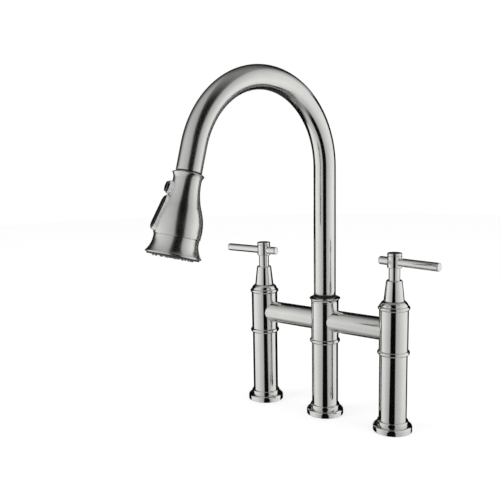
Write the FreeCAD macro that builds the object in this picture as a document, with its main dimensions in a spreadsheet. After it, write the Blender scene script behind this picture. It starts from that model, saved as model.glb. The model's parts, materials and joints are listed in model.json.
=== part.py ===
import FreeCAD, Part
import math
import os
from types import SimpleNamespace

import Sketcher

Vector = FreeCAD.Vector
Rotation = FreeCAD.Rotation
Placement = FreeCAD.Placement

# Bridge kitchen faucet with a swivelling gooseneck, a pull-down spray head and two lever valves.
# Frame: millimetres, origin on the deck at the centre column's axis, +X along the bridge to the
# cold side, -Y to the front, +Z up.

# Driving dimensions in millimetres, with turns and tilts in degrees.
SIZES = {
    "column_spacing": 101.6,
    "slip_fit": 0.05,
    "running_fit": 0.1,
    "running_gap": 0.3,
    # Base flange and gasket of each column
    "flange_width": 7.2,
    "flange_rim_height": 8.0,
    "flange_edge_round": 3.0,
    "flange_step_width": 2.2,
    "flange_step_round": 1.6,
    "flange_height": 14.0,
    "gasket_width": 4.2,
    "gasket_thickness": 2.0,
    # Post, bead rings and body of each column
    "post_step": 0.7,
    "post_wall": 2.2,
    "lower_bead_z": 103.5,
    "lower_bead_height": 5.6,
    "lower_bead_proud": 2.1,
    "bead_foot": 0.2,
    "body_radius": 18.5,
    "body_height": 52.5,
    "bridge_rise": 25.2,
    "bridge_radius": 14.75,
    "bridge_wall": 1.9,
    "bridge_seam": 0.1,
    "spigot_length": 12.0,
    "spigot_bore": 8.0,
    "seal_section": 1.1,
    "seal_groove_width": 2.8,
    "seal_lip": 2.4,
    # Deck connections
    "centre_socket_wall": 2.65,
    "centre_socket_depth": 15.0,
    "inlet_socket_radius": 9.3,
    "inlet_socket_depth": 16.0,
    "inlet_head_height": 18.0,
    "inlet_tube_radius": 11.0,
    "inlet_bore": 6.5,
    "inlet_engagement": 10.0,
    # Quarter-turn valve inside each side column
    "seat_web": 3.0,
    "valve_bore_share": 0.7027,
    "seat_seal_width": 5.5,
    "seat_seal_thickness": 1.5,
    "cartridge_wall": 2.2,
    "disc_thickness": 3.5,
    "disc_port_share": 0.24,
    "disc_port_place": 0.51,
    "driver_step": 1.0,
    "driver_height": 3.0,
    "cartridge_window_radius": 4.0,
    "cartridge_shoulder": 3.5,
    "spindle_radius": 5.0,
    # Bonnet with its bead and dome
    "upper_bead_height": 5.2,
    "upper_bead_proud": 1.75,
    "dome_step": 0.3,
    "dome_slope": 5.1,
    "dome_height": 6.2,
    "dome_round": 8.0,
    "dome_roof": 3.0,
    "dome_hole_radius": 6.0,
    # Handles
    "cone_base_radius": 13.1,
    "cone_top_radius": 10.2,
    "cone_height": 26.0,
    "cone_edge": 0.8,
    "spindle_grip": 19.0,
    "stem_radius": 7.1,
    "stem_height": 15.7,
    "hub_radius": 9.2,
    "hub_height": 15.3,
    "hub_edge": 0.5,
    "hub_peg_radius": 4.0,
    "hub_peg_height": 1.4,
    "cap_height": 3.7,
    "cap_edge_round": 1.2,
    "lever_rise": 7.6,
    "lever_radius": 5.25,
    "lever_reach": 63.5,
    "lever_stub": 22.0,
    "lever_end_round": 1.6,
    "grub_radius": 2.0,
    "grub_recess": 0.4,
    "right_lever_turn": 9.0,
    # Centre column above the bridge
    "tee_height": 50.7,
    "tee_wall": 3.9,
    "tee_roof": 9.0,
    "sleeve_radius": 8.6,
    "sleeve_bore": 6.8,
    "sleeve_plug_height": 6.0,
    "nipple_gap": 0.1,
    "nipple_wall": 1.0,
    "nipple_length": 40.0,
    "spigot_shoulder": 6.1,
    "spout_spigot_radius": 11.2,
    "spout_spigot_height": 34.0,
    "collar_flare": 2.25,
    "collar_lip_rise": 4.6,
    "collar_cove_radius": 6.0,
    "collar_lip_height": 0.8,
    "collar_crown_inset": 1.7,
    "collar_height": 6.6,
    "collar_crown_radius": 6.0,
    "washer_inset": 2.65,
    "washer_thickness": 1.2,
    # Gooseneck spout
    "spout_radius": 14.7,
    "spout_wall": 1.5,
    "spout_riser_top": 337.1,
    "spout_bend_radius": 109.2,
    "spout_bend_angle": 164.5,
    "spout_tip_length": 29.1,
    "spout_turn": 10.25,
    "spout_bush_height": 24.0,
    "spout_bush_lift": 1.0,
    # Spray hose and its dock in the spout's tip
    "hose_radius": 6.5,
    "hose_bore": 4.0,
    "hose_foot_z": 24.0,
    "dock_depth": 28.0,
    "dock_wall": 2.6,
    "dock_guide_height": 4.0,
    "dock_inset": 2.0,
    "dock_lip": 1.0,
    "hose_tip_length": 4.0,
    "ferrule_crimp": 5.7,
    "ferrule_neck_radius": 5.8,
    "ferrule_neck_length": 14.6,
    "ferrule_collar_radius": 7.1,
    "ferrule_collar_length": 6.0,
    "ferrule_bore": 3.5,
    "nut_radius": 9.8,
    "nut_nose_radius": 8.0,
    "nut_nose_length": 4.0,
    "nut_thread_radius": 8.4,
    "nut_thread_length": 9.6,
    # Spray head, measured down from the spout's end
    "head_spin": 21.0,
    "head_gap": 1.4,
    "head_collar_length": 9.0,
    "head_collar_mouth_radius": 15.2,
    "head_collar_lip_radius": 18.0,
    "head_collar_lip_drop": 3.2,
    "head_collar_round": 4.0,
    "head_collar_cove": 9.0,
    "core_neck_radius": 12.4,
    "core_waist_radius": 10.4,
    "core_waist_drop": 14.0,
    "core_valve_radius": 11.5,
    "core_valve_drop": 32.0,
    "core_flange_radius": 21.9,
    "core_flange_thickness": 1.8,
    "core_end_drop": 80.0,
    "core_channel_radius": 4.0,
    "shell_wall": 2.0,
    "shell_neck_radius": 15.8,
    "shell_neck_drop": 10.5,
    "shell_waist_radius": 21.1,
    "shell_waist_drop": 38.0,
    "shell_flare_radius": 76.7,
    "shell_belly_radius": 26.6,
    "shell_belly_drop": 64.0,
    "shell_belly_round": 64.0,
    "shell_rim_radius": 26.0,
    "shell_rim_drop": 72.5,
    "shell_rim_round": 60.0,
    "skirt_seam": 0.5,
    "skirt_spigot_length": 2.6,
    "skirt_step": 0.7,
    "skirt_shoulder": 3.0,
    "skirt_wall": 1.8,
    "skirt_rim_radius": 31.2,
    "skirt_rim_drop": 92.3,
    "skirt_rim_height": 1.3,
    "skirt_flare_radius": 25.5,
    "face_thickness": 4.4,
    "face_proud": 1.9,
    "face_edge_round": 0.8,
    "face_boss_radius": 9.0,
    "aerator_radius": 8.5,
    "aerator_seat": 2.0,
    "aerator_proud": 0.9,
    "aerator_rim": 1.6,
    "nozzle_radius": 1.1,
    "nozzle_tip_radius": 0.75,
    "nozzle_height": 1.4,
    "inner_nozzle_circle": 14.0,
    "outer_nozzle_circle": 22.0,
    # Controls on the spray head
    "rocker_length": 38.0,
    "rocker_width": 14.0,
    "rocker_drop": 49.0,
    "rocker_face_radius": 26.4,
    "rocker_tilt": 14.5,
    "rocker_thickness": 6.0,
    "rocker_edge_round": 1.4,
    "rocker_pin_depth": 5.2,
    "rocker_pin_radius": 1.0,
    "rocker_boss_length": 8.0,
    "rocker_boss_depth": 2.2,
    "rocker_peg_radius": 1.1,
    "rocker_peg_depth": 17.1,
    "bezel_gap": 0.6,
    "bezel_wall": 1.0,
    "rocker_bezel_drop": 1.4,
    "rocker_bezel_depth": 6.6,
    "button_radius": 5.85,
    "button_drop": 20.7,
    "button_face_radius": 22.6,
    "button_tilt": 6.0,
    "button_depth": 7.6,
    "button_edge_round": 1.0,
    "button_stem_radius": 2.0,
    "button_stem_length": 6.0,
    "button_travel": 2.0,
    "button_bezel_drop": 2.6,
    "button_bezel_depth": 9.6,
    "spool_radius": 2.6,
    "spool_offset": 8.2,
    "spool_length": 14.0,
    "spool_waist_radius": 0.9,
    "spool_travel": 1.6,
}
INNER_NOZZLES = 9
OUTER_NOZZLES = 16


class Size(float):
    """A number that carries the sheet formula it comes from."""

    def __new__(cls, value, formula):
        size = super().__new__(cls, value)
        size.formula = formula
        return size

    def __add__(self, other):
        return Size(float(self) + float(other), f"({self.formula} + {formula_of(other)})")

    def __sub__(self, other):
        return Size(float(self) - float(other), f"({self.formula} - {formula_of(other)})")

    def __mul__(self, other):
        return Size(float(self) * float(other), f"({self.formula} * {formula_of(other)})")

    def __truediv__(self, other):
        return Size(float(self) / float(other), f"({self.formula} / {formula_of(other)})")


NOTHING = Size(0.0, "0")


def formula_of(number):
    """Formula text of a Size, or the digits of a plain number."""
    return number.formula if isinstance(number, Size) else repr(float(number))


def sine(angle):
    """Sine of an angle in degrees, as a Size."""
    return Size(math.sin(math.radians(angle)), f"sin({angle.formula})")


def cosine(angle):
    """Cosine of an angle in degrees, as a Size."""
    return Size(math.cos(math.radians(angle)), f"cos({angle.formula})")


def write_sheet(document):
    """Put the driving dimensions in the document's sheet and return them as Sizes."""
    sheet = document.addObject("Spreadsheet::Sheet", "Sizes")
    for row, (alias, value) in enumerate(SIZES.items(), start=1):
        sheet.set(f"A{row}", alias)
        sheet.set(f"B{row}", str(value))
        sheet.setAlias(f"B{row}", alias)
    document.recompute()
    return SimpleNamespace(**{alias: Size(sheet.get(alias), f"Sizes.{alias}") for alias in SIZES})


doc = FreeCAD.newDocument("bridge_faucet")
d = write_sheet(doc)
pieces = []

# Shared levels and radii worked out from the driving dimensions
post_radius = d.body_radius - d.post_step
post_bore = post_radius - d.post_wall
flange_radius = post_radius + d.flange_width
flange_step_radius = post_radius + d.flange_step_width
gasket_radius = post_radius + d.gasket_width
centre_socket_radius = post_radius - d.centre_socket_wall
spigot_root_radius = d.body_radius - d.spigot_shoulder
washer_radius = d.body_radius - d.washer_inset
post_top = d.lower_bead_z - d.lower_bead_height / 2
body_base = d.lower_bead_z + d.lower_bead_height / 2
body_top = body_base + d.body_height
bridge_z = body_base + d.bridge_rise
bridge_bore = d.bridge_radius - d.bridge_wall
cartridge_radius = d.body_radius * d.valve_bore_share
disc_radius = cartridge_radius - d.cartridge_wall
cartridge_neck_radius = cartridge_radius - d.cartridge_shoulder
tee_cavity_radius = d.body_radius - d.tee_wall
seat_z = body_base + d.inlet_engagement + d.seat_web
cartridge_base = seat_z + d.seat_seal_thickness
fixed_disc_top = cartridge_base + d.disc_thickness
moving_disc_base = fixed_disc_top + d.slip_fit
moving_disc_top = moving_disc_base + d.disc_thickness
driver_top = moving_disc_top + d.driver_height
bonnet_bead_top = body_top + d.upper_bead_height
dome_top = bonnet_bead_top + d.dome_height
cone_base = dome_top + d.running_gap
cone_top = cone_base + d.cone_height
spindle_top = cone_base + d.spindle_grip
hub_base = cone_top + d.stem_height
hub_top = hub_base + d.hub_height
lever_z = hub_base + d.lever_rise
tee_top = body_base + d.tee_height
collar_top = tee_top + d.collar_height
washer_top = collar_top + d.washer_thickness
spout_foot = washer_top + d.running_gap
spigot_top = spout_foot + d.spout_spigot_height
spout_bore = d.spout_radius - d.spout_wall
skirt_base = d.shell_rim_drop + d.skirt_seam
skirt_bottom = d.skirt_rim_drop + d.skirt_rim_height
face_bottom = skirt_bottom + d.face_proud


def bind(feature, path, size):
    """Set a dimension of a feature by formula where it has one."""
    feature.setExpression(path, formula_of(size))


def new_body(label):
    """Start a sub-part's body under its node name."""
    body = doc.addObject("PartDesign::Body", label)
    body.Label = label
    return body


def finish(part, placement=Placement()):
    """Seat a finished sub-part and list it for writing."""
    part.Placement = placement
    pieces.append(part)
    return part


def group(label, members):
    """Gather like pieces under one node and take them off the list of single pieces."""
    compound = doc.addObject("Part::Compound", label)
    compound.Label = label
    compound.Links = members
    for member in members:
        pieces.remove(member)
    pieces.append(compound)


def new_sketch(body, role, lift=0.0, shift=0.0, tilt=0.0):
    """Open a sketch on an origin plane: raised, moved along its vertical, tilted about its horizontal."""
    plane = next(feature for feature in body.Origin.OriginFeatures if feature.Role == role)
    sketch = body.newObject("Sketcher::SketchObject", "Sketch")
    sketch.AttachmentSupport = [(plane, "")]
    sketch.MapMode = "FlatFace"
    sketch.AttachmentOffset = Placement(Vector(0, shift, lift), Rotation(Vector(1, 0, 0), float(tilt)))
    bind(sketch, "AttachmentOffset.Base.z", lift)
    bind(sketch, "AttachmentOffset.Base.y", shift)
    return sketch


def hold(sketch, kind, *target, size):
    """Add a sketch dimension and bind it to its formula."""
    index = sketch.addConstraint(Sketcher.Constraint(kind, *target, float(size)))
    if isinstance(size, Size):
        bind(sketch, f"Constraints[{index}]", size)


def hold_point(sketch, geometry, corner, across, along):
    """Fix a sketch point by its distances from the sketch's origin."""
    if abs(across) < 1e-9:
        sketch.addConstraint(Sketcher.Constraint("PointOnObject", geometry, corner, -2))
    else:
        hold(sketch, "DistanceX", -1, 1, geometry, corner, size=across)
    if abs(along) < 1e-9:
        sketch.addConstraint(Sketcher.Constraint("PointOnObject", geometry, corner, -1))
    else:
        hold(sketch, "DistanceY", -1, 1, geometry, corner, size=along)


def arc_between(start, end, radius, bulge):
    """Minor arc between two points: bulge 1 bows to the left of the way there, -1 to the right."""
    first = Vector(start[0], start[1], 0)
    last = Vector(end[0], end[1], 0)
    chord = last - first
    left = Vector(-chord.y, chord.x, 0).normalize()
    height = math.sqrt(max(float(radius) ** 2 - (chord.Length / 2) ** 2, 0.0))
    centre = (first + last) * 0.5 - left * (height * bulge)
    circle = Part.Circle(centre, Vector(0, 0, 1), float(radius))
    ends = (last, first) if bulge > 0 else (first, last)
    angles = [math.atan2(point.y - centre.y, point.x - centre.x) for point in ends]
    return Part.ArcOfCircle(circle, angles[0], angles[1])


def draw_outline(sketch, outline):
    """Draw a closed outline of points; a third and fourth entry bow the way to the next into an arc."""
    ends = []
    for start, end in zip(outline, outline[1:] + outline[:1]):
        if len(start) == 4:
            leg = sketch.addGeometry(arc_between(start, end, start[2], start[3]))
            hold(sketch, "Radius", leg, size=start[2])
            ends.append((leg, 2, 1) if start[3] > 0 else (leg, 1, 2))
        else:
            line = Part.LineSegment(Vector(start[0], start[1], 0), Vector(end[0], end[1], 0))
            leg = sketch.addGeometry(line)
            ends.append((leg, 1, 2))
    for (leg, _, tail), (following, head, _) in zip(ends, ends[1:] + ends[:1]):
        sketch.addConstraint(Sketcher.Constraint("Coincident", leg, tail, following, head))
    for point, (leg, head, _) in zip(outline, ends):
        hold_point(sketch, leg, head, point[0], point[1])


def draw_circle(sketch, radius, across=0.0, along=0.0):
    """Draw a circle about a point of the sketch."""
    centre = Vector(across, along, 0)
    circle = sketch.addGeometry(Part.Circle(centre, Vector(0, 0, 1), float(radius)))
    hold(sketch, "Radius", circle, size=radius)
    hold_point(sketch, circle, 3, across, along)


def draw_stadium(sketch, length, width):
    """Draw a round-ended slot about the sketch's origin, long way up."""
    half = width / 2
    reach = (length - width) / 2
    upper = Part.Circle(Vector(0, reach, 0), Vector(0, 0, 1), float(half))
    lower = Part.Circle(Vector(0, -float(reach), 0), Vector(0, 0, 1), float(half))
    top = sketch.addGeometry(Part.ArcOfCircle(upper, 0, math.pi))
    bottom = sketch.addGeometry(Part.ArcOfCircle(lower, math.pi, 2 * math.pi))
    left = sketch.addGeometry(Part.LineSegment(Vector(-half, reach, 0), Vector(-half, -float(reach), 0)))
    right = sketch.addGeometry(Part.LineSegment(Vector(half, -float(reach), 0), Vector(half, reach, 0)))
    corners = [(top, 2, left, 1), (left, 2, bottom, 1), (bottom, 2, right, 1), (right, 2, top, 1)]
    for corner in corners:
        sketch.addConstraint(Sketcher.Constraint("Tangent", *corner))
    for arc in (top, bottom):
        sketch.addConstraint(Sketcher.Constraint("PointOnObject", arc, 3, -2))
    hold(sketch, "Radius", top, size=half)
    hold(sketch, "DistanceY", -1, 1, top, 3, size=reach)
    hold(sketch, "DistanceY", bottom, 3, top, 3, size=reach * 2)


def turn(body, outline, cut=False):
    """Turn an outline of radius and height about the body's own Z axis, as material or as a cut."""
    sketch = new_sketch(body, "XZ_Plane")
    draw_outline(sketch, outline)
    feature = body.newObject("PartDesign::Groove" if cut else "PartDesign::Revolution", "Turned")
    feature.Profile = sketch
    feature.ReferenceAxis = (sketch, ["V_Axis"])
    feature.Angle = 360.0
    return feature


def extrude(body, sketch, length, cut=False, flip=False, both=False):
    """Pad a sketch along its normal, or pocket it against its normal."""
    feature = body.newObject("PartDesign::Pocket" if cut else "PartDesign::Pad", "Extruded")
    feature.Profile = sketch
    feature.Length = float(length)
    bind(feature, "Length", length)
    feature.Reversed = flip
    if both:
        feature.SideType = "Symmetric"
    return feature


def turned_piece(label, outline, placement=Placement()):
    """A sub-part that is one turning."""
    body = new_body(label)
    turn(body, outline)
    return finish(body, placement)


def ring(inner, outer, base, top):
    """Outline of a plain ring, or of a disc where the inner radius is nothing."""
    return [(inner, base), (outer, base), (outer, top), (inner, top)]


def bead_outline(bore, foot, crest, base, top):
    """Outline of a ring whose outside bows out to a crest."""
    rise = crest - foot
    height = top - base
    bow = (height * height / 4 + rise * rise) / (rise * 2)
    return [(bore, base), (foot, base, bow, -1), (foot, top), (bore, top)]


def upright(x=0.0, turned=0.0):
    """Placement of a column piece: moved along the bridge and turned about its own axis."""
    return Placement(Vector(x, 0, 0), Rotation(Vector(0, 0, 1), float(turned)))


def base_flange(label, place):
    """Stepped deck flange with two rounded tiers and a recess for its gasket."""
    bore = post_radius + d.slip_fit
    shoulder = d.flange_rim_height - d.flange_edge_round
    turned_piece(label, [
        (gasket_radius, 0.0),
        (flange_radius, 0.0),
        (flange_radius, shoulder, d.flange_edge_round, -1),
        (flange_radius - d.flange_edge_round, d.flange_rim_height),
        (flange_step_radius, d.flange_rim_height),
        (flange_step_radius, d.flange_height - d.flange_step_round, d.flange_step_round, -1),
        (flange_step_radius - d.flange_step_round, d.flange_height),
        (bore, d.flange_height),
        (bore, d.gasket_thickness),
        (gasket_radius, d.gasket_thickness),
    ], place)


def base_gasket(label, place):
    """Flat ring that seals the flange to the deck."""
    outline = ring(post_radius + d.slip_fit, gasket_radius - d.slip_fit, 0.0, d.gasket_thickness)
    return turned_piece(label, outline, place)


def column_bead(label, place):
    """Half-round ring between a post and the body above it."""
    foot = d.body_radius + d.bead_foot
    crest = d.body_radius + d.lower_bead_proud
    outline = bead_outline(post_bore, foot, crest, post_top, body_base)
    return turned_piece(label, outline, place)


def spigot(body, side):
    """Round spigot with a seal groove behind its lip, out of a body towards the given side of X."""
    lip_end = d.body_radius + d.spigot_length
    groove_end = lip_end - d.seal_lip
    groove_start = groove_end - d.seal_groove_width
    full = bridge_bore - d.slip_fit
    floor = bridge_bore - d.seal_section * 2 - d.slip_fit
    lands = ((NOTHING, groove_start, full), (groove_start, groove_end, floor), (groove_end, lip_end, full))
    for start, end, radius in lands:
        sketch = new_sketch(body, "YZ_Plane", lift=start * side)
        draw_circle(sketch, radius, 0.0, bridge_z)
        extrude(body, sketch, end - start, flip=side < 0)


def drill_spigot(body, side):
    """Water way from the middle of a body out through a spigot."""
    sketch = new_sketch(body, "YZ_Plane")
    draw_circle(sketch, d.spigot_bore, 0.0, bridge_z)
    extrude(body, sketch, d.body_radius + d.spigot_length + d.running_gap, cut=True, flip=side > 0)


def seal_ring(label, x):
    """Rubber ring in a spigot's groove, round the bridge's axis."""
    torus = doc.addObject("Part::Torus", label)
    torus.Label = label
    bind(torus, "Radius1", bridge_bore - d.slip_fit / 2 - d.seal_section)
    bind(torus, "Radius2", d.seal_section - d.slip_fit / 4)
    return finish(torus, Placement(Vector(x, 0, bridge_z), Rotation(Vector(0, 1, 0), 90)))


def bridge_tube(label, start_x):
    """Bridge tube, coped at both ends to the bodies that it joins."""
    solids = []
    for name, radius in (("outside", d.bridge_radius), ("inside", bridge_bore)):
        bar = doc.addObject("Part::Cylinder", f"{label}_{name}")
        bind(bar, "Radius", radius)
        bind(bar, "Height", d.column_spacing)
        bar.Placement = Placement(Vector(start_x, 0, bridge_z), Rotation(Vector(0, 1, 0), 90))
        solids.append(bar)
    for end, x in (("near", start_x), ("far", float(start_x) + float(d.column_spacing))):
        cope = doc.addObject("Part::Cylinder", f"{label}_{end}_cope")
        bind(cope, "Radius", d.body_radius + d.bridge_seam)
        bind(cope, "Height", body_top)
        cope.Placement = upright(x)
        solids.append(cope)
    cutter = doc.addObject("Part::MultiFuse", f"{label}_cutter")
    cutter.Shapes = solids[1:]
    tube = doc.addObject("Part::Cut", label)
    tube.Label = label
    tube.Base = solids[0]
    tube.Tool = cutter
    pieces.append(tube)


def valve_disc(label, radius, base, place):
    """Ceramic disc with two ports."""
    body = new_body(label)
    turn(body, ring(0.0, radius, base, base + d.disc_thickness))
    place_out = radius * d.disc_port_place
    for port in (place_out, NOTHING - place_out):
        sketch = new_sketch(body, "XY_Plane", lift=base)
        draw_circle(sketch, radius * d.disc_port_share, port, 0.0)
        extrude(body, sketch, d.disc_thickness, cut=True, flip=True)
    return finish(body, place)


def side_post(side, place):
    """Plain post tube of a side column."""
    turned_piece(f"{side}_post", ring(post_bore, post_radius, 0.0, post_top), place)


def inlet_tube(side, place):
    """Brass inlet: a threaded socket at the deck and a tube up into the valve body."""
    head = post_bore - d.slip_fit
    top = body_base + d.inlet_engagement
    turned_piece(f"{side}_inlet_tube", [
        (d.inlet_socket_radius, 0.0),
        (head, 0.0),
        (head, d.inlet_head_height),
        (d.inlet_tube_radius, d.inlet_head_height),
        (d.inlet_tube_radius, top),
        (d.inlet_bore, top),
        (d.inlet_bore, d.inlet_socket_depth),
        (d.inlet_socket_radius, d.inlet_socket_depth),
    ], place)


def valve_body(side, place):
    """Valve casting: bored for the cartridge, with one spigot towards the bridge."""
    body = new_body(f"{side}_valve_body")
    turn(body, ring(0.0, d.body_radius, body_base, body_top))
    spigot(body, 1)
    inlet = d.inlet_tube_radius + d.slip_fit
    inlet_end = body_base + d.inlet_engagement
    turn(body, [
        (0.0, body_base),
        (inlet, body_base),
        (inlet, inlet_end),
        (d.inlet_bore, inlet_end),
        (d.inlet_bore, seat_z),
        (cartridge_radius, seat_z),
        (cartridge_radius, body_top),
        (0.0, body_top),
    ], cut=True)
    drill_spigot(body, 1)
    finish(body, place)


def cartridge(side, place):
    """Cartridge housing: a chamber for the discs, side windows and a neck round the spindle."""
    body = new_body(f"{side}_cartridge")
    outside = cartridge_radius - d.slip_fit
    chamber = disc_radius + d.slip_fit
    chamber_top = driver_top + d.running_gap
    neck_top = dome_top - d.dome_roof - d.slip_fit
    bore = d.spindle_radius + d.slip_fit
    turn(body, [
        (chamber, cartridge_base),
        (outside, cartridge_base),
        (outside, body_top),
        (cartridge_neck_radius, body_top),
        (cartridge_neck_radius, neck_top),
        (bore, neck_top),
        (bore, chamber_top),
        (chamber, chamber_top),
    ])
    sketch = new_sketch(body, "YZ_Plane")
    draw_circle(sketch, d.cartridge_window_radius, 0.0, bridge_z)
    extrude(body, sketch, cartridge_radius * 3, cut=True, both=True)
    finish(body, place)


def bonnet(side, place):
    """Bonnet with a bead at its foot and a dome that the spindle comes through."""
    bore = cartridge_neck_radius + d.slip_fit
    foot = d.body_radius + d.bead_foot
    roof = dome_top - d.dome_roof
    rise = d.upper_bead_proud - d.bead_foot
    bow = (d.upper_bead_height * d.upper_bead_height / 4 + rise * rise) / (rise * 2)
    turned_piece(f"{side}_bonnet", [
        (bore, body_top),
        (foot, body_top, bow, -1),
        (foot, bonnet_bead_top),
        (d.body_radius - d.dome_step, bonnet_bead_top, d.dome_round, -1),
        (d.body_radius - d.dome_slope, dome_top),
        (d.dome_hole_radius, dome_top),
        (d.dome_hole_radius, roof),
        (bore, roof),
    ], place)


def spindle(side, place):
    """Spindle with a driver that turns the moving disc."""
    turned_piece(f"{side}_spindle", [
        (0.0, moving_disc_top),
        (disc_radius - d.driver_step, moving_disc_top),
        (disc_radius - d.driver_step, driver_top),
        (d.spindle_radius, driver_top),
        (d.spindle_radius, spindle_top),
        (0.0, spindle_top),
    ], place)


def handle_skirt(side, place):
    """Tapered skirt over the spindle with the slim stem above it."""
    bore = d.spindle_radius + d.slip_fit
    peg_top = hub_base + d.hub_peg_height - d.slip_fit
    turned_piece(f"{side}_handle_skirt", [
        (bore, cone_base),
        (d.cone_base_radius, cone_base),
        (d.cone_top_radius, cone_top - d.cone_edge),
        (d.cone_top_radius - d.cone_edge, cone_top),
        (d.stem_radius, cone_top),
        (d.stem_radius, hub_base),
        (d.hub_peg_radius, hub_base),
        (d.hub_peg_radius, peg_top),
        (0.0, peg_top),
        (0.0, spindle_top),
        (bore, spindle_top),
    ], place)


def handle_hub(side, place):
    """Hub with the lever's cross bore and a rear hole for its grub screw."""
    body = new_body(f"{side}_handle_hub")
    recess = d.hub_peg_radius + d.slip_fit
    turn(body, [
        (recess, hub_base),
        (d.hub_radius - d.hub_edge, hub_base),
        (d.hub_radius, hub_base + d.hub_edge),
        (d.hub_radius, hub_top - d.hub_edge),
        (d.hub_radius - d.hub_edge, hub_top),
        (recess, hub_top),
        (recess, hub_top - d.hub_peg_height),
        (0.0, hub_top - d.hub_peg_height),
        (0.0, hub_base + d.hub_peg_height),
        (recess, hub_base + d.hub_peg_height),
    ])
    sketch = new_sketch(body, "YZ_Plane")
    draw_circle(sketch, d.lever_radius + d.slip_fit, 0.0, lever_z)
    extrude(body, sketch, d.hub_radius * 3, cut=True, both=True)
    sketch = new_sketch(body, "XZ_Plane")
    draw_circle(sketch, d.grub_radius + d.slip_fit, 0.0, lever_z)
    extrude(body, sketch, d.hub_radius * 2, cut=True)
    finish(body, place)


def hub_cap(side, place):
    """Cap with a rounded edge, pegged into the hub's top."""
    cap_top = hub_top + d.cap_height
    peg = hub_top - d.hub_peg_height + d.slip_fit
    turned_piece(f"{side}_hub_cap", [
        (0.0, peg),
        (d.hub_peg_radius, peg),
        (d.hub_peg_radius, hub_top),
        (d.hub_radius - d.hub_edge, hub_top),
        (d.hub_radius, hub_top + d.hub_edge),
        (d.hub_radius, cap_top - d.cap_edge_round, d.cap_edge_round, -1),
        (d.hub_radius - d.cap_edge_round, cap_top),
        (0.0, cap_top),
    ], place)


def lever(side, place):
    """Lever rod through the hub: a long arm outwards, a short stub inwards and rounded ends."""
    length = d.lever_reach + d.lever_stub
    land = d.lever_radius - d.lever_end_round
    along = Placement(Vector(d.lever_stub, 0, lever_z), Rotation(Vector(0, 1, 0), -90))
    turned_piece(f"{side}_lever", [
        (0.0, 0.0),
        (land, 0.0, d.lever_end_round, -1),
        (d.lever_radius, d.lever_end_round),
        (d.lever_radius, length - d.lever_end_round, d.lever_end_round, -1),
        (land, length),
        (0.0, length),
    ], place.multiply(along))


def grub_screw(side, place):
    """Grub screw that holds the lever, in the rear of the hub."""
    start = d.lever_radius + d.slip_fit
    length = d.hub_radius - d.grub_recess - start
    rear = Placement(Vector(0, start, lever_z), Rotation(Vector(1, 0, 0), -90))
    turned_piece(f"{side}_grub_screw", ring(0.0, d.grub_radius, 0.0, length), place.multiply(rear))


def side_column(side, x, turned, lever_turned):
    """All pieces of one valve column: those fixed to the deck, then those that turn with its handle."""
    place = upright(x, turned)
    base_flange(f"{side}_base_flange", place)
    side_post(side, place)
    inlet_tube(side, place)
    valve_body(side, place)
    cartridge(side, place)
    bonnet(side, place)
    handle_place = upright(x, lever_turned)
    valve_disc(f"{side}_moving_disc", disc_radius - d.running_gap, moving_disc_base, handle_place)
    spindle(side, handle_place)
    handle_skirt(side, handle_place)
    handle_hub(side, handle_place)
    hub_cap(side, handle_place)
    lever(side, handle_place)
    grub_screw(side, handle_place)


def centre_post():
    """Centre post with the threaded socket that takes the fixing shank."""
    turned_piece("centre_post", [
        (centre_socket_radius, 0.0),
        (post_radius, 0.0),
        (post_radius, post_top),
        (post_bore, post_top),
        (post_bore, d.centre_socket_depth),
        (centre_socket_radius, d.centre_socket_depth),
    ])


def tee_body():
    """Mixing tee: a spigot to each bridge tube and a chamber round the hose sleeve."""
    body = new_body("tee_body")
    turn(body, ring(0.0, d.body_radius, body_base, tee_top))
    for side in (1, -1):
        spigot(body, side)
    chamber_top = tee_top - d.tee_roof
    neck = spigot_root_radius + d.slip_fit
    turn(body, [
        (0.0, body_base),
        (tee_cavity_radius, body_base),
        (tee_cavity_radius, chamber_top),
        (neck, chamber_top),
        (neck, tee_top),
        (0.0, tee_top),
    ], cut=True)
    for side in (1, -1):
        drill_spigot(body, side)
    finish(body)


def hose_sleeve():
    """Sleeve that leads the hose through the tee, with the plug and nipple that take mixed water down."""
    body = new_body("hose_sleeve")
    plug_top = body_base + d.sleeve_plug_height
    plug_radius = tee_cavity_radius - d.slip_fit
    turn(body, [
        (d.sleeve_bore, body_base),
        (plug_radius, body_base),
        (plug_radius, plug_top),
        (d.sleeve_radius, plug_top),
        (d.sleeve_radius, spigot_top),
        (d.sleeve_bore, spigot_top),
    ])
    nipple_place = (tee_cavity_radius + d.sleeve_radius) / 2
    nipple_radius = (tee_cavity_radius - d.sleeve_radius) / 2 - d.nipple_gap
    sketch = new_sketch(body, "XY_Plane", lift=body_base)
    draw_circle(sketch, nipple_radius, 0.0, nipple_place)
    extrude(body, sketch, d.nipple_length, flip=True)
    sketch = new_sketch(body, "XY_Plane", lift=plug_top)
    draw_circle(sketch, nipple_radius - d.nipple_wall, 0.0, nipple_place)
    extrude(body, sketch, d.nipple_length + d.sleeve_plug_height, cut=True)
    finish(body)


def spout_spigot():
    """Brass spigot in the tee's top that the spout swivels on."""
    bore = d.sleeve_radius + d.slip_fit
    root = tee_top - d.tee_roof
    turned_piece("spout_spigot", [
        (bore, root),
        (spigot_root_radius, root),
        (spigot_root_radius, washer_top),
        (d.spout_spigot_radius, washer_top),
        (d.spout_spigot_radius, spigot_top),
        (bore, spigot_top),
    ])


def spout_collar():
    """Flared collar on the tee: a coved flank, a narrow lip and a crowned top."""
    bore = spigot_root_radius + d.slip_fit
    outside = d.body_radius + d.collar_flare
    lip = tee_top + d.collar_lip_rise
    turned_piece("spout_collar", [
        (bore, tee_top),
        (d.body_radius, tee_top, d.collar_cove_radius, 1),
        (outside, lip),
        (outside, lip + d.collar_lip_height, d.collar_crown_radius, -1),
        (d.body_radius - d.collar_crown_inset, collar_top),
        (bore, collar_top),
    ])


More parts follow.
